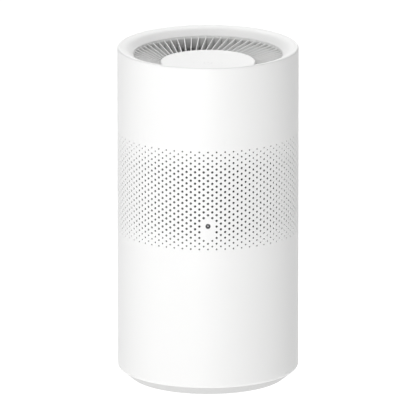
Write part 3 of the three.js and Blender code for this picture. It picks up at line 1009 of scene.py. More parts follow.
    def done(self, finish: Finish, body: str, *nodes: str) -> bpy.types.Object:
        """Closes the piece, gives it its finish and puts it in the scene.

        Args:
            finish: Its finish.
            body: The body that it moves with.
            nodes: The solids that it stands for.

        Returns:
            The finished object.
        """
        self.merge(self.bm.verts)
        bmesh.ops.recalc_face_normals(self.bm, faces=self.bm.faces[:])
        for face in self.bm.faces:
            face.smooth = True
        limit = math.radians(CREASE)
        for edge in self.bm.edges:
            edge.smooth = len(edge.link_faces) == 2 and edge.calc_face_angle() < limit
        mesh = bpy.data.meshes.new(self.name)
        self.bm.to_mesh(mesh)
        self.bm.free()
        made = bpy.data.objects.new(self.name, mesh)
        bpy.context.scene.collection.objects.link(made)
        mesh.materials.append(finish.material())
        if nodes:
            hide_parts(*nodes)
        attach(made, body)
        LOG.info("%s: %d faces, on %s", self.name, len(mesh.polygons), body)
        return made


def upright(x: float, y: float, z: float) -> Matrix:
    """The place of something drawn flat that stands facing -Y at a point."""
    return Matrix.Translation((x, y, z)) @ Matrix.Rotation(math.pi / 2, 4, "X")


# ---------------------------------------------------------------- housing


@dataclass
class Housing:
    """The one-piece shell with its band of intake holes.

    Attributes:
        radius: Its outside radius.
        wall: The thickness of its wall.
        thin_wall: The thickness of the wall in the band.
        crest: The height of the rim.
        foot: The height of its lower edge.
        columns: How many columns of holes go round. Every second column is half a pitch lower.
        rows: How many holes a full column has.
        pitch: The distance from hole to hole up a column.
        top_row: The height of the highest hole.
        hole: The radius of a hole.
        fine_hole: The radius of the holes in the first and last rows.
        fade: Over how many rows the holes grow to full size.
        indicator_hole: The radius of the hole for the indicator.
        inlet_low: The lower edge of the mains inlet's window.
        inlet_high: The upper edge of that window.
        inlet_half_angle: Half the window's width, in degrees.
        lip: The rounding of the rim's outer edge.
        ledge: How far the rim's ledge stands in from the lining.
        foot_rise: How far above the lower edge its rounding ends on the skin.
        foot_inset: How far the lower edge stands in from the skin.
        foot_land: How far in the lower edge ends.
        blank: The rows without a hole, column by column, round the indicator.
    """

    radius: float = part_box("outer_shell")[1].x
    wall: float = 2.5 * MM
    thin_wall: float = 1.7 * MM
    crest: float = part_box("outer_shell")[1].z
    foot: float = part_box("outer_shell")[0].z
    columns: int = 132
    rows: int = 18
    pitch: float = 6.79 * MM
    top_row: float = 293.86 * MM
    hole: float = 1.42 * MM
    fine_hole: float = 1.0 * MM
    fade: int = 3
    indicator_hole: float = 2.95 * MM
    inlet_low: float = 27.3 * MM
    inlet_high: float = 40.7 * MM
    inlet_half_angle: float = 6.0
    lip: float = 2.0 * MM
    ledge: float = 1.25 * MM
    foot_rise: float = 1.63 * MM
    foot_inset: float = 1.75 * MM
    foot_land: float = 4.6 * MM
    blank: dict[int, range] = field(
        default_factory=lambda: {0: range(12, 16), 1: range(12, 15), -1: range(12, 15)}
    )

    @property
    def width(self) -> float:
        """The width of one column along the circle."""
        return FULL_TURN * self.radius / self.columns

    def hole_radius(self, row: int, rows: int) -> float:
        """The radius of the holes in a row: finer towards both edges of the band.

        Args:
            row: The row, counted from the top.
            rows: How many rows the column has.

        Returns:
            The radius in metres.
        """
        from_edge = min(row, rows - 1 - row)
        share = min(1.0, from_edge / self.fade)
        return self.fine_hole + (self.hole - self.fine_hole) * share

    def border(self, height: float) -> list[tuple[float, float]]:
        """The points round a cell, with three steps along its top and bottom.

        Args:
            height: How tall the cell is. A tall one gets a middle point on its sides.

        Returns:
            The points as (x, z) from the cell's middle.
        """
        half, rise = self.width / 2, height / 2
        middle = [(half, 0.0)] if height > self.pitch * 0.75 else []
        upper = [(half, rise), (half / 3, rise), (-half / 3, rise), (-half, rise)]
        return middle + upper + [(-x, -z) for x, z in middle + upper]

    def cell(
        self, piece: Workpiece, column: int, height: float, size: float, hole: float = 0.0
    ) -> None:
        """Adds one cell of the band, drawn flat in the XZ plane.

        Args:
            piece: The piece being modelled.
            column: Its column.
            height: The height of its middle.
            size: How tall it is.
            hole: The radius of its hole, or 0 for a blank cell.
        """
        border = self.border(size)
        place = upright(column * self.width, 0, height)
        rim = piece.circle(hole or size / 3, len(border), place, filled=hole == 0)
        if hole:
            grown = bmesh.ops.extrude_edge_only(piece.bm, edges=edges_of(rim))["geom"]
            rim = [item for item in grown if isinstance(item, BMVert)]
        centre = place.translation

        def way_round(x: float, z: float) -> float:
            """The angle of a point about the cell's middle, from a little before a full turn."""
            return math.atan2(z, x) % (FULL_TURN - 1e-4)

        rim = sorted(rim, key=lambda v: way_round(v.co.x - centre.x, v.co.z - centre.z))
        border.sort(key=lambda point: way_round(*point))
        for vert, (x, z) in zip(rim, border):
            vert.co = centre + Vector((x, 0, z))

    def strip(self, piece: Workpiece, first: int, blanks: bool) -> None:
        """Adds two neighbouring columns, flat.

        Args:
            piece: The piece being modelled.
            first: The first column, an even number.
            blanks: Whether the cells round the indicator stay blank.
        """
        for column in (first, first + 1):
            odd = column % 2
            rows = self.rows - odd
            for row in range(rows):
                height = self.top_row - self.pitch * (row + odd / 2)
                bare = blanks and row in self.blank.get(column, ())
                hole = 0.0 if bare else self.hole_radius(row, rows)
                self.cell(piece, column, height, self.pitch, hole)
            if odd:
                for end in (self.top_row + self.pitch / 4, self.band_foot + self.pitch / 4):
                    self.cell(piece, column, end, self.pitch / 2)

    @property
    def band_top(self) -> float:
        """The upper edge of the highest cells."""
        return self.top_row + self.pitch / 2

    @property
    def band_foot(self) -> float:
        """The lower edge of the lowest cells."""
        return self.top_row - self.pitch * (self.rows - 0.5)

    def bend(self, verts: Iterable[BMVert]) -> None:
        """Bends flat geometry onto the cylinder, with x = 0 at the front.

        Args:
            verts: The vertices, drawn flat in the XZ plane.
        """
        for vert in verts:
            angle = vert.co.x / self.radius
            across, forward = self.radius * math.sin(angle), self.radius * math.cos(angle)
            vert.co = Vector((across, -forward, vert.co.z))

    def band(self, piece: Workpiece) -> None:
        """Adds the outer surface of the whole band, with its holes open.

        Args:
            piece: The piece being modelled.
        """
        self.strip(piece, 2, False)
        self.bend(piece.bm.verts)
        strips = self.columns // 2
        piece.copies(piece.bm.verts[:] + piece.bm.edges[:] + piece.bm.faces[:], strips - 2, strips)
        known = set(piece.bm.verts)
        self.strip(piece, 0, True)
        self.strip(piece, -2, True)
        self.bend(piece.since(known))
        piece.merge(piece.bm.verts, 20 * MERGE)

    def open_indicator(self, piece: Workpiece) -> None:
        """Cuts the round hole of the indicator into the blank cells at the front.

        Args:
            piece: The piece being modelled.
        """
        middle = Vector((0, -self.radius, INDICATOR_HEIGHT))
        reach = self.pitch * 1.1
        pad = [f for f in piece.bm.faces if (f.calc_center_median() - middle).length < reach]
        border = [e for e in edges_of(pad) if sum(face in pad for face in e.link_faces) == 1]
        bmesh.ops.delete(piece.bm, geom=pad, context="FACES")
        made = piece.circle(self.indicator_hole, len(border), upright(*middle))
        for vert in made:
            vert.co.y = -math.sqrt(self.radius**2 - vert.co.x**2)
        piece.bridge(border, edges_of(made))

    def ring_at(self, piece: Workpiece, radius: float, height: float) -> Ring:
        """The open ring of edges at a radius and height.

        Args:
            piece: The piece being modelled.
            radius: The ring's radius.
            height: The ring's height.

        Returns:
            The ring's edges.
        """

        def lies_there(vert: BMVert) -> bool:
            """Whether a vertex is on the ring."""
            off = abs(vert.co.xy.length - radius)
            return abs(vert.co.z - height) < CLOSE and off < self.thin_wall / 4

        return [e for e in piece.bm.edges if e.is_boundary and all(map(lies_there, e.verts))]

    def open_inlet(self, piece: Workpiece) -> None:
        """Cuts the mains inlet's window through both skins at the back and lines it.

        Args:
            piece: The piece being modelled.
        """
        limit = math.radians(self.inlet_half_angle)

        def in_window(face: BMFace) -> bool:
            """Whether a face lies inside the window.

            Args:
                face: The face.

            Returns:
                True if it does.
            """
            middle = face.calc_center_median()
            at_back = abs(math.atan2(middle.x, middle.y)) < limit
            at_height = self.inlet_low < middle.z < self.inlet_high
            return at_back and at_height and abs(face.normal.z) < 0.5

        window = [face for face in piece.bm.faces if in_window(face)]
        bmesh.ops.delete(piece.bm, geom=window, context="FACES")
        piece.bridge([edge for edge in piece.bm.edges if edge.is_boundary])

    def shell(self) -> bpy.types.Object:
        """The shell: the band first, then both skins on from it to the rim and to the foot.

        Returns:
            The finished object.
        """
        piece = Workpiece("housing_shell")
        self.band(piece)
        self.open_indicator(piece)
        piece.face_outward()
        bmesh.ops.solidify(piece.bm, geom=piece.bm.faces[:], thickness=self.thin_wall)
        caps = [face for face in piece.bm.faces if self.is_cap(face)]
        bmesh.ops.delete(piece.bm, geom=caps, context="FACES_ONLY")
        skin, thin = self.radius, self.radius - self.thin_wall
        for height, section in ((self.band_top, self.rim()), (self.band_foot, self.lower())):
            points = outline(section, closed=False, steps=7)
            end = piece.follow(self.ring_at(piece, skin, height), points[1:])
            piece.bridge(end, self.ring_at(piece, thin, height))
        self.open_inlet(piece)
        return piece.done(PIERCED_WHITE, "housing", "outer_shell")

    def is_cap(self, face: BMFace) -> bool:
        """Whether a face closes the band's wall at its top or bottom."""
        ends = (self.band_top, self.band_foot)
        return any(all(abs(v.co.z - end) < CLOSE for v in face.verts) for end in ends)

    def rim(self) -> list[Corner]:
        """The section from the band's top up over the rim and down inside.

        Returns:
            The section's corners, in order.
        """
        skin, lining, crest = self.radius, self.radius - self.wall, self.crest
        return [
            Corner(skin, self.band_top),
            Corner(skin, crest, self.lip),
            Corner(skin - self.lip - 0.4 * MM, crest, 1.2 * MM),
            Corner(lining - self.ledge, crest - 0.36 * MM),
            Corner(lining - self.ledge, crest - 8 * MM),
            Corner(lining, crest - 9 * MM),
            Corner(lining, self.band_top + 2.5 * MM),
            Corner(skin - self.thin_wall, self.band_top + 1.5 * MM),
        ]

    def lower(self) -> list[Corner]:
        """The section from the band's foot down round the lower edge and up inside.

        Returns:
            The section's corners, in order.
        """
        skin, lining, foot = self.radius, self.radius - self.wall, self.foot
        return [
            Corner(skin, self.band_foot),
            Corner(skin, self.inlet_high),
            Corner(skin, self.inlet_low),
            Corner(skin, foot + self.foot_rise, 5.2 * MM),
            Corner(skin - self.foot_inset, foot, 0.15 * MM),
            Corner(skin - self.foot_land, foot, 0.25 * MM),
            Corner(skin - self.foot_land, foot + 0.7 * MM),
            Corner(lining, foot + 3.7 * MM),
            Corner(lining, self.inlet_low),
            Corner(lining, self.inlet_high),
            Corner(lining, self.band_foot - 2.5 * MM),
            Corner(skin - self.thin_wall, self.band_foot - 1.5 * MM),
        ]

    def screen(self) -> bpy.types.Object:
        """The screen behind the holes; its black is painted shade for the inside of the housing.

        Returns:
            The finished object.
        """
        piece = Workpiece("black_dust_screen")
        low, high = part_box("dust_screen")
        outer = self.radius - self.thin_wall - 0.4 * MM
        inner = outer - 0.5 * MM
        section = [(inner, low.z), (outer, low.z), (outer, high.z), (inner, high.z)]
        piece.turn(section, self.columns)
        return piece.done(SCREEN_MESH, "housing", "dust_screen")


# ---------------------------------------------------------------- outlet


@dataclass
class Outlet:
    """The funnel, the swirl grille and the dished touch disc.

    Attributes:
        crest: The height of the rim.
        funnel_outer: The radius at which the funnel meets the shell.
        funnel_inner: The radius at which the funnel ends over the grille.
        fullness: The corner that the funnel's long curve rounds: its radius and its depth.
        skirt_inner: The inside radius of the funnel's skirt.
        skirt_outer: The outside radius of that skirt.
        rim_inner: The inside radius of the grille's rim.
        rim_outer: The outside radius of the grille's rim.
        rim_top: The height of the grille's rim.
        hub_inner: The inside radius of the hub that the disc stands in.
        hub_outer: The outside radius of the hub.
        hub_low: The height of the hub's underside.
        hub_drop: How far the hub's top lies below the crest.
        blades: How many blades there are.
        thick: The thickness of a blade.
        offset: The radius of the circle that the blades are tangent to.
        phase: The turn of the first blade, in degrees.
        slope: How steeply the blades' upper edges fall inwards.
        sunk: How far a blade's ends reach into the rim and the hub.
        depth: How deep a blade is.
        disc_radius: The radius of the disc.
        disc_rim: The height of the disc's edge.
        disc_low: The height of the underside of the disc's collar.
        disc_edge: How wide the rounded edge round the disc's bowl is.
        disc_wall: The thickness of the disc's middle.
        collar_outer: The outside radius of the disc's collar.
        collar_inner: The inside radius of the disc's collar.
        dish: How far the disc's middle lies below its rim.
    """

    crest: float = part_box("outer_shell")[1].z
    funnel_outer: float = 101.18 * MM
    funnel_inner: float = 86.6 * MM
    fullness: tuple[float, float] = (95.2 * MM, 2.3 * MM)
    skirt_inner: float = 98.4 * MM
    skirt_outer: float = 101.4 * MM
    rim_inner: float = WELL_RADIUS
    rim_outer: float = 88.2 * MM
    rim_top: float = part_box("outlet_grille")[1].z
    hub_inner: float = 52.6 * MM
    hub_outer: float = 54.8 * MM
    hub_low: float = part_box("outlet_grille")[0].z
    hub_drop: float = 20.6 * MM
    blades: int = 62
    thick: float = 1.2 * MM
    offset: float = 21 * MM
    phase: float = -1.2
    slope: float = BLADE_SLOPE
    sunk: float = 0.9 * MM
    depth: float = 12.5 * MM
    disc_radius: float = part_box("control_disc")[1].x
    disc_rim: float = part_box("control_disc")[1].z
    disc_low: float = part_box("control_disc")[0].z
    disc_edge: float = 3.2 * MM
    disc_wall: float = 1.3 * MM
    collar_outer: float = 49.8 * MM
    collar_inner: float = 48 * MM
    dish: float = 2.4 * MM

    def funnel(self) -> bpy.types.Object:
        """The smooth slope from the rim down to the grille, with its skirt.

        Returns:
            The finished object.
        """
        piece = Workpiece("funnel")
        crest, outer, inner = self.crest, self.funnel_outer, self.funnel_inner
        edge = crest - 9.1 * MM
        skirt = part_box("outlet_funnel")[0].z
        corners = [
            Corner(inner, edge - 0.7 * MM),
            Corner(inner + 2.4 * MM, edge - 0.7 * MM),
            Corner(self.skirt_inner, crest - 5.2 * MM),
            Corner(self.skirt_inner, skirt),
            Corner(self.skirt_outer, skirt),
            Corner(self.skirt_outer, crest - 9.4 * MM),
            Corner(outer, crest - 8.4 * MM),
            Corner(outer, crest - 0.38 * MM, 0.1 * MM),
            Corner(self.fullness[0], crest - self.fullness[1], 16 * MM),
            Corner(inner, edge + 0.25 * MM, 0.45 * MM),
        ]
        piece.turn(outline(corners, steps=8), 180)
        return piece.done(HOUSING_WHITE, "housing", "outlet_funnel")

    def blade(self, piece: Workpiece) -> list:
        """Adds the first blade.

        Args:
            piece: The piece being modelled.

        Returns:
            The blade's vertices, edges and faces.
        """
        near, far = self.hub_outer - self.sunk, self.rim_inner + self.sunk
        start, end = (math.sqrt(radius**2 - self.offset**2) for radius in (near, far))
        rise = (far - near) * self.slope
        top = self.rim_top - BLADE_DROP + self.sunk * self.slope - rise / 2
        place = Matrix.Translation((-self.offset, (start + end) / 2, top - self.depth / 2))
        lean = Matrix.Identity(4)
        lean[2][1] = rise / (end - start)
        size = Matrix.Diagonal((self.thick, end - start, self.depth, 1))
        spin = Matrix.Rotation(math.radians(self.phase), 4, "Z")
        place = spin @ place @ lean @ size
        made = bmesh.ops.create_cube(piece.bm, size=1.0, matrix=place)["verts"]
        known = set(piece.bm.verts) - set(made)
        ridges = [e for e in edges_of(made) if e.calc_length() > (end - start) * 0.9]
        piece.soften(ridges, self.thick * 0.42, 3)
        return piece.whole(piece.since(known))

    def grille(self) -> bpy.types.Object:
        """The rim, the hub and the ring of blades between them.

        Returns:
            The finished object.
        """
        piece = Workpiece("swirl_grille")
        piece.copies(self.blade(piece), self.blades)
        bottom = self.rim_top - self.depth - 0.7 * MM
        rim = [
            Corner(self.rim_inner, bottom, 0.3 * MM),
            Corner(self.rim_outer, bottom, 0.3 * MM),
            Corner(self.rim_outer, self.rim_top, 0.3 * MM),
            Corner(self.rim_inner, self.rim_top, 0.3 * MM),
        ]
        top = self.crest - self.hub_drop
        hub = [
            Corner(self.hub_inner - 2.4 * MM, self.hub_low, 0.3 * MM),
            Corner(self.hub_outer, self.hub_low, 0.5 * MM),
            Corner(self.hub_outer, top, 0.4 * MM),
            Corner(self.hub_inner, top, 0.4 * MM),
            Corner(self.hub_inner, self.hub_low + 1.6 * MM, 0.3 * MM),
            Corner(self.hub_inner - 2.4 * MM, self.hub_low + 1.6 * MM, 0.3 * MM),
        ]
        piece.turn(outline(rim, steps=3), 186)
        piece.turn(outline(hub, steps=3), 124)
        return piece.done(BLADE_WHITE, "housing", "outlet_grille")

    def disc(self) -> bpy.types.Object:
        """The dished disc with its rounded edge and the skirt that holds it in the pod.

        Returns:
            The finished object.
        """
        piece = Workpiece("touch_disc")
        flat, steps = self.disc_radius - self.disc_edge, 16
        sphere = (flat**2 + self.dish**2) / (2 * self.dish)
        bowl = []
        for step in range(steps + 1):
            radius = flat * step / steps
            rise = sphere - math.sqrt(sphere**2 - radius**2)
            bowl.append((radius, self.disc_rim - self.dish + rise))
        under = self.disc_low + 3 * MM
        edge = outline(
            [
                Corner(flat, self.disc_rim),
                Corner(self.disc_radius, self.disc_rim, 1.7 * MM),
                Corner(self.disc_radius, under, 0.4 * MM),
                Corner(self.collar_outer, under),
                Corner(self.collar_outer, self.disc_low, 0.4 * MM),
                Corner(self.collar_inner, self.disc_low, 0.4 * MM),
                Corner(self.collar_inner, under - 1 * MM),
                Corner(0, self.disc_rim - self.dish - self.disc_wall),
            ],
            closed=False,
            steps=6,
        )
        piece.turn(bowl + edge[1:], 144, closed=False)
        return piece.done(DISC_WHITE, "housing", "control_disc")

    def build(self) -> list[bpy.types.Object]:
        """Builds the three pieces of the outlet."""
        return [self.funnel(), self.grille(), self.disc()]


# ---------------------------------------------------------------- indicator


@dataclass
class Indicator:
    """The small round indicator at the front.

    Attributes:
        radius: The outside radius of its bezel.
        face: How far forward its bezel stands.
        height: The height of its middle.
        land: The width of its bezel.
    """

    radius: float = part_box("indicator_bezel")[1].x
    face: float = INDICATOR_FACE
    height: float = INDICATOR_HEIGHT
    land: float = 0.95 * MM

    def turned_forward(self, piece: Workpiece, corners: Sequence[Corner]) -> None:
        """Turns an outline whose heights count forward from the face, and sets it in the front.

        Args:
            piece: The piece being modelled.
            corners: The outline's corners.
        """
        verts = piece.turn(outline(corners, steps=4), 48)
        place = upright(0, self.face, self.height)
        bmesh.ops.transform(piece.bm, matrix=place, verts=verts)

    def build(self) -> list[bpy.types.Object]:
        """Builds the bezel and the domed lens in it.

        Returns:
            The finished objects.
        """
        bore = self.radius - self.land
        bezel = Workpiece("indicator_ring")
        deep = self.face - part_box("indicator_bezel")[1].y
        self.turned_forward(
            bezel,
            [
                Corner(bore, deep),
                Corner(self.radius, deep),
                Corner(self.radius, 0, 0.25 * MM),
                Corner(bore + 0.25 * MM, 0, 0.15 * MM),
                Corner(bore, -0.6 * MM, 0.1 * MM),
            ],
        )
        ring = bezel.done(CHARCOAL, "housing", "indicator_bezel")
        lens = Workpiece("indicator_dome")
        dome = bore - 0.05 * MM
        self.turned_forward(
            lens,
            [
                Corner(0, deep),
                Corner(dome, deep),
                Corner(dome, -0.7 * MM, 0.2 * MM),
                Corner(dome * 0.6, -0.45 * MM, 0.6 * MM),
                Corner(0, -0.35 * MM),
            ],
        )
        return [ring, lens.done(SMOKED_LENS, "housing", "indicator_lens")]


# ---------------------------------------------------------------- base


@dataclass
class Base:
    """The base cover that turns to unlock, and its four rubber feet.

    Attributes:
        low: The height of the cover's underside.
        high: The height of its spigot.
        top_radius: Its radius at the shoulder.
        bottom_radius: Its radius at the underside.
        shoulder: The height at which the housing stands over the cover.
        spigot_outer: The outside radius of the spigot that goes up into the housing.
        spigot_inner: The inside radius of that spigot.
        plate: The height of the floor inside.
        pocket_ceiling: The height of the finger pockets' ceiling.
        pocket_near: How far from the middle a pocket starts.
        pocket_far: How far from the middle it ends.
        pocket_length: How long it is from front to back.
        pocket_corner: The radius of its corners.
        pocket_wall: The thickness of its wall.
        foot_ring: The radius of the circle that the feet stand on.
        foot_radius: The radius of a foot.
        grooves: The radii of the grooves in a foot's tread.
        lug_outer: How far out the lugs reach.
        lug_heights: The lugs' lower and upper sides.
        lug_angle: How wide a lug is, in degrees.
        seat_radii: The inside and outside radius of the ring that the filter stands on.
        steps: How many steps the circles have.
    """

    low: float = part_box("base_cover")[0].z
    high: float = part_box("base_cover")[1].z
    top_radius: float = 102.8 * MM
    bottom_radius: float = 89.5 * MM
    shoulder: float = 11.9 * MM
    spigot_outer: float = 96 * MM
    spigot_inner: float = 93.6 * MM
    plate: float = 3.6 * MM
    pocket_ceiling: float = 11.5 * MM
    pocket_near: float = 7 * MM
    pocket_far: float = 36 * MM
    pocket_length: float = 48 * MM
    pocket_corner: float = 6 * MM
    pocket_wall: float = 2 * MM
    foot_ring: float = 76 * MM
    foot_radius: float = 9 * MM
    grooves: tuple[float, ...] = (2.2 * MM, 4.4 * MM, 6.6 * MM)
    lug_outer: float = 99.4 * MM
    lug_heights: tuple[float, float] = (20.4 * MM, 23.4 * MM)
    lug_angle: float = 16.0
    seat_radii: tuple[float, float] = (60 * MM, 62.4 * MM)
    steps: int = 144

    def pockets(self, piece: Workpiece, height: float, grow: float) -> list[Ring]:
        """The edges of the two finger pockets at a height, grown by a wall's thickness.

        Args:
            piece: The piece being modelled.
            height: The height of the edges.
            grow: How much wider they are on every side.

        Returns:
            One loop of edges for each pocket.
        """
        width = self.pocket_far - self.pocket_near + 2 * grow
        depth = self.pocket_length + 2 * grow
        middle, corner = (self.pocket_near + self.pocket_far) / 2, self.pocket_corner + grow
        places = [Matrix.Translation((side * middle, 0, height)) for side in (-1, 1)]
        return [piece.slab(width, depth, corner, place) for place in places]

    def raised(self, piece: Workpiece, loop: Ring, height: float) -> None:
        """Carries a loop up to a height and closes it there."""
        top = piece.extend(loop, lambda place: Vector((place.x, place.y, height)))
        piece.fill(top)

    def cover(self) -> bpy.types.Object:
        """The cover: underside with pockets, tapered edge, spigot, and the floor inside.

        Returns:
            The finished object.
        """
        piece = Workpiece("twist_base")
        under = piece.ring(self.bottom_radius - 3 * MM, self.low, self.steps)
        pockets = self.pockets(piece, self.low, 0)
        seats = [self.foot_seat(piece, 45 + 90 * index) for index in range(4)]
        piece.fill(under + [edge for loop in pockets + seats for edge in loop])
        for loop in pockets:
            self.raised(piece, loop, self.pocket_ceiling)
        for loop in seats:
            self.raised(piece, loop, self.low + 1.5 * MM)
        section = outline(
            [
                Corner(self.bottom_radius - 3 * MM, self.low),
                Corner(self.bottom_radius, self.low, 2.5 * MM),
                Corner(self.top_radius, self.shoulder, 0.3 * MM),
                Corner(self.spigot_outer, self.shoulder),
                Corner(self.spigot_outer, self.high, 0.6 * MM),
                Corner(self.spigot_inner, self.high, 0.6 * MM),
                Corner(self.spigot_inner, self.plate + 2 * MM, 2 * MM),
                Corner(self.spigot_inner - 6 * MM, self.plate),
            ],
            closed=False,
            steps=5,
        )
        inside = piece.follow(under, section[1:])
        roofs = self.pockets(piece, self.plate, self.pocket_wall)
        piece.fill(inside + [edge for loop in roofs for edge in loop])
        for loop in roofs:
            self.raised(piece, loop, self.pocket_ceiling + self.pocket_wall)
        self.lugs(piece)
        self.filter_seat(piece)
        inside_feet = self.foot_ring - self.foot_radius * 2

        def under_pocket(vert: BMVert) -> bool:
            """Whether a vertex lies on the underside, nearer the middle than the feet."""
            return abs(vert.co.z - self.low) < 1e-6 and vert.co.xy.length < inside_feet

        piece.soften(piece.sharp_edges(under_pocket), 0.8 * MM, 3)
        return piece.done(BASE_GREY, "base", "base_cover")

    def foot_seat(self, piece: Workpiece, degrees: float) -> Ring:
        """The edge of the recess that one foot sits in.

        Args:
            piece: The piece being modelled.
            degrees: Where it lies round the axis, in degrees.

        Returns:
            The edges of the recess.
        """
        angle = math.radians(degrees)
        around = Vector((math.cos(angle), math.sin(angle), 0))
        place = Matrix.Translation(around * self.foot_ring + Vector((0, 0, self.low)))
        return edges_of(piece.circle(self.foot_radius + 0.3 * MM, 40, place))

    def lugs(self, piece: Workpiece) -> None:
        """Adds the four bayonet lugs round the spigot.

        Args:
            piece: The piece being modelled.
        """
        wide = math.radians(self.lug_angle)
        inner, outer = self.spigot_outer - 0.6 * MM, self.lug_outer
        low, high = self.lug_heights
        known = set(piece.bm.verts)
        start = Matrix.Rotation(-wide / 2, 4, "Z")
        corners = [(inner, low), (outer, low), (outer, high), (inner, high)]
        made = [start @ Vector((radius, 0, height)) for radius, height in corners]
        verts = [piece.bm.verts.new(place) for place in made]
        face = piece.bm.faces.new(verts)
        piece.spin([*verts, *face.edges, face], wide, 8)
        piece.merge(piece.since(known))
        piece.copies(piece.whole(piece.since(known)), 4)

    def filter_seat(self, piece: Workpiece) -> None:
        """Adds the low ring that the filter stands on.

        Args:
            piece: The piece being modelled.
        """
        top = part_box("filter_bottom_cap")[0].z - 0.3 * MM
        (inner, outer), bottom = self.seat_radii, self.plate - 0.4 * MM
        corners = [
            Corner(inner, bottom),
            Corner(outer, bottom),
            Corner(outer, top, 0.5 * MM),
            Corner(inner, top, 0.5 * MM),
        ]
        piece.turn(outline(corners, steps=3), self.steps)

    def foot(self, number: int) -> bpy.types.Object:
        """One round rubber foot with three grooves in its tread.

        Args:
            number: The foot's number, from 1.

        Returns:
            The finished object.
        """
        node = f"rubber_foot_{number}"
        low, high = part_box(node)
        middle = (low + high) / 2
        radius, top = (high.x - low.x) / 2, high.z
        corners = [Corner(0, 0)]
        section = ((-0.45, 0.0), (-0.3, 0.5), (0.3, 0.5), (0.45, 0.0))
        for groove in self.grooves:
            corners += [Corner(groove + x * MM, z * MM, 0.1 * MM) for x, z in section]
        corners += [Corner(radius, 0, 0.8 * MM), Corner(radius, top, 0.3 * MM), Corner(0, top)]
        piece = Workpiece(f"grooved_foot_{number}")
        verts = piece.turn(outline(corners, closed=False, steps=3), 48, closed=False)
        bmesh.ops.translate(piece.bm, verts=verts, vec=(middle.x, middle.y, 0))
        return piece.done(FOOT_RUBBER, "base", node)

    def build(self) -> list[bpy.types.Object]:
        """Builds the cover and its feet."""
        return [self.cover(), *(self.foot(number) for number in range(1, 5))]


# ---------------------------------------------------------------- mains inlet


@dataclass
class MainsInlet:
    """The two-pin mains inlet low at the back.

    Attributes:
        height: The height of its middle.
        face: How far back its face stands.
        deep: How far forward its body reaches.
        body_width: The width of its body.
        body_height: The height of its body.
        recess_width: The width of the recess for the plug.
        recess_height: The height of the recess.
        recess: How deep the plug goes in.
        flange_size: The width and height of the flange inside the housing.
        flange_planes: How far in from the face the flange starts and ends.
        pin_radius: The radius of a contact pin.
        pin_spacing: The distance between the pins' middles.
    """

    height: float = 34 * MM
    face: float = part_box("mains_inlet")[1].y
    deep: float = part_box("mains_inlet")[0].y
    body_width: float = 21 * MM
    body_height: float = 12.4 * MM
    recess_width: float = 17 * MM
    recess_height: float = 8.4 * MM
    recess: float = 15 * MM
    flange_size: tuple[float, float] = (26 * MM, 16 * MM)
    flange_planes: tuple[float, float] = (3.7 * MM, 5.7 * MM)
    pin_radius: float = 1.2 * MM
    pin_spacing: float = 8.6 * MM

    def moved_to(self, y: float) -> Callable[[Vector], Vector]:
        """A move to a plane across Y."""
        return lambda place: Vector((place.x, y, place.z))

    def socket(self) -> bpy.types.Object:
        """The moulded body with its recess and its flange.

        Returns:
            The finished object.
        """
        piece = Workpiece("inlet_socket")
        place = upright(0, self.face, self.height)
        outside = piece.slab(self.body_width, self.body_height, 1.5 * MM, place)
        corner = self.recess_height * 0.49
        inside = piece.slab(self.recess_width, self.recess_height, corner, place)
        piece.fill(outside + inside)
        piece.fill(piece.extend(inside, self.moved_to(self.face - self.recess)))
        piece.fill(piece.extend(outside, self.moved_to(self.deep)))
        rim = piece.sharp_edges(lambda vert: abs(vert.co.y - self.face) < 1e-6)
        piece.soften(rim, 0.4 * MM, 3)
        self.flange(piece)
        return piece.done(CHARCOAL, "housing", "mains_inlet")

    def flange(self, piece: Workpiece) -> None:
        """Adds the flange that lies against the inside of the housing.

        Args:
            piece: The piece being modelled.
        """
        front, back = (self.face - plane for plane in self.flange_planes)
        place = upright(0, front, self.height)
        outer = piece.slab(*self.flange_size, 2 * MM, place)
        width, height = self.body_width - 0.4 * MM, self.body_height - 0.4 * MM
        hole = piece.slab(width, height, 1.3 * MM, place)
        piece.fill(outer + hole)
        outer_back = piece.extend(outer, self.moved_to(back))
        hole_back = piece.extend(hole, self.moved_to(back))
        piece.fill(outer_back + hole_back)

    def pin(self, side: int, name: str) -> bpy.types.Object:
        """One round contact pin with a domed tip.

        Args:
            side: -1 for the left pin and 1 for the right one.
            name: The pin's name.

        Returns:
            The finished object.
        """
        piece = Workpiece(name)
        length = self.recess - 4.5 * MM
        corners = [
            Corner(0, 0),
            Corner(self.pin_radius, 0),
            Corner(self.pin_radius, length, self.pin_radius * 0.9),
            Corner(0, length),
        ]
        verts = piece.turn(outline(corners, closed=False, steps=6), 24, closed=False)
        start = self.face - self.recess - 0.3 * MM
        turned = Matrix.Rotation(-math.pi / 2, 4, "X")
        place = Matrix.Translation((side * self.pin_spacing / 2, start, self.height)) @ turned
        bmesh.ops.transform(piece.bm, matrix=place, verts=verts)
        return piece.done(STEEL, "housing")

    def build(self) -> list[bpy.types.Object]:
        """Builds the socket and its two pins."""
        return [self.socket(), self.pin(-1, "inlet_pin_left"), self.pin(1, "inlet_pin_right")]


# ---------------------------------------------------------------- solids that stay


def dress_solids() -> None:
    """Gives each solid that still shows its own finish."""
    for finish, names in FINISHED_SOLIDS.items():
        for name in names:
            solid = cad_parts[name]
            solid.data.materials.clear()
            solid.data.materials.append(finish.material())
            LOG.info("%s: solid with finish %s", name, finish.name)


# ---------------------------------------------------------------- studio


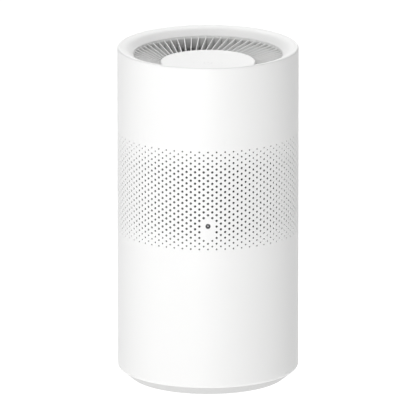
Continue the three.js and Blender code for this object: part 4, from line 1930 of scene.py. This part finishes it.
@dataclass(frozen=True)
class Softbox:
    """A square softbox that faces the object.

    Attributes:
        name: Its name.
        azimuth: Where it stands, in degrees from the front towards the right.
        elevation: How high it stands, in degrees.
        size: The length of its side in metres.
        power: Its power in watts.
        away: How far it stands from the object.
    """

    name: str
    azimuth: float
    elevation: float
    size: float
    power: float
    away: float = 2.2

    def build(self) -> None:
        """Adds the light."""
        data = bpy.data.lights.new(self.name, "AREA")
        data.shape, data.size, data.energy = "SQUARE", self.size, self.power
        made = bpy.data.objects.new(self.name, data)
        around, up = math.radians(self.azimuth), math.radians(self.elevation)
        level = math.cos(up)
        way = Vector((math.sin(around) * level, -math.cos(around) * level, math.sin(up)))
        made.location = Vector((0, 0, 0.2)) + way * self.away
        made.rotation_euler = (-way).to_track_quat("-Z", "Y").to_euler()
        bpy.context.scene.collection.objects.link(made)


SOFTBOXES = (
    Softbox("key", -10, 12, 1.4, 21.4),
    Softbox("left", -75, 12, 1.4, 9.4),
    Softbox("right", 90, 45, 1.4, 2.2),
    Softbox("front_top", 0, 60, 1.6, 11.4),
    Softbox("rear_top", 180, 60, 1.6, 22.4),
    Softbox("rear", 180, 28, 2.0, 16.9),
)


@dataclass
class Studio:
    """The floor, the lights and the camera.

    Attributes:
        elevation: How far above level the camera looks from, in degrees.
        distance: How far the camera stands from the axis.
        lens: The camera's focal length in millimetres.
        aim: The height on the axis that the camera looks at.
        sky: The strength of the even light all round.
        floor_size: Half the side of the floor.
        floor_glow: How strongly the floor shines.
    """

    elevation: float = 14.7
    distance: float = 16.09
    lens: float = 1200.0
    aim: float = 200.4 * MM
    sky: float = 0.1
    floor_size: float = 6.0
    floor_glow: float = 1.03

    def camera(self) -> None:
        """Adds the camera, far off with a long lens."""
        data = bpy.data.cameras.new("camera")
        data.lens, data.sensor_width = self.lens, 36.0
        data.clip_start, data.clip_end = 0.1, 100.0
        made = bpy.data.objects.new("camera", data)
        tilt = math.radians(self.elevation)
        back, up = self.distance * math.cos(tilt), self.distance * math.sin(tilt)
        made.location = (0, -back, self.aim + up)
        made.rotation_euler = (math.pi / 2 - tilt, 0, 0)
        bpy.context.scene.collection.objects.link(made)
        bpy.context.scene.camera = made

    def floor(self) -> None:
        """Adds the plain white floor, which shines like a light table, so no shadow lies on it."""
        bm = bmesh.new()
        bmesh.ops.create_grid(bm, x_segments=1, y_segments=1, size=self.floor_size)
        mesh = bpy.data.meshes.new("floor")
        bm.to_mesh(mesh)
        bm.free()
        made = bpy.data.objects.new("floor", mesh)
        constants = {"Base Color": (0.0, 0.0, 0.0, 1.0), "Emission Strength": self.floor_glow}
        table = Shader("light_table", constants)
        even = table.noise(0.5)
        table.feed("Emission Color", table.blend(even, (0.99, 0.99, 0.99), (1.0, 1.0, 1.0)))
        mesh.materials.append(table.material)
        bpy.context.scene.collection.objects.link(made)

    def world(self) -> None:
        """Fills the room with even white light."""
        room = bpy.data.worlds.new("studio")
        room.use_nodes = True
        background = room.node_tree.nodes["Background"]
        background.inputs["Color"].default_value = (1.0, 1.0, 1.0, 1.0)
        background.inputs["Strength"].default_value = self.sky
        bpy.context.scene.world = room

    def build(self) -> None:
        """Sets up the studio."""
        bpy.context.scene.view_settings.view_transform = "Standard"
        self.camera()
        self.world()
        self.floor()
        for softbox in SOFTBOXES:
            softbox.build()


def main() -> None:
    """Builds the purifier and its studio."""
    logging.basicConfig(level=logging.INFO, format="%(name)s: %(message)s")
    Studio().build()
    housing = Housing()
    housing.shell()
    housing.screen()
    Outlet().build()
    Indicator().build()
    Base().build()
    MainsInlet().build()
    dress_solids()


if __name__ == "__main__":
    main()
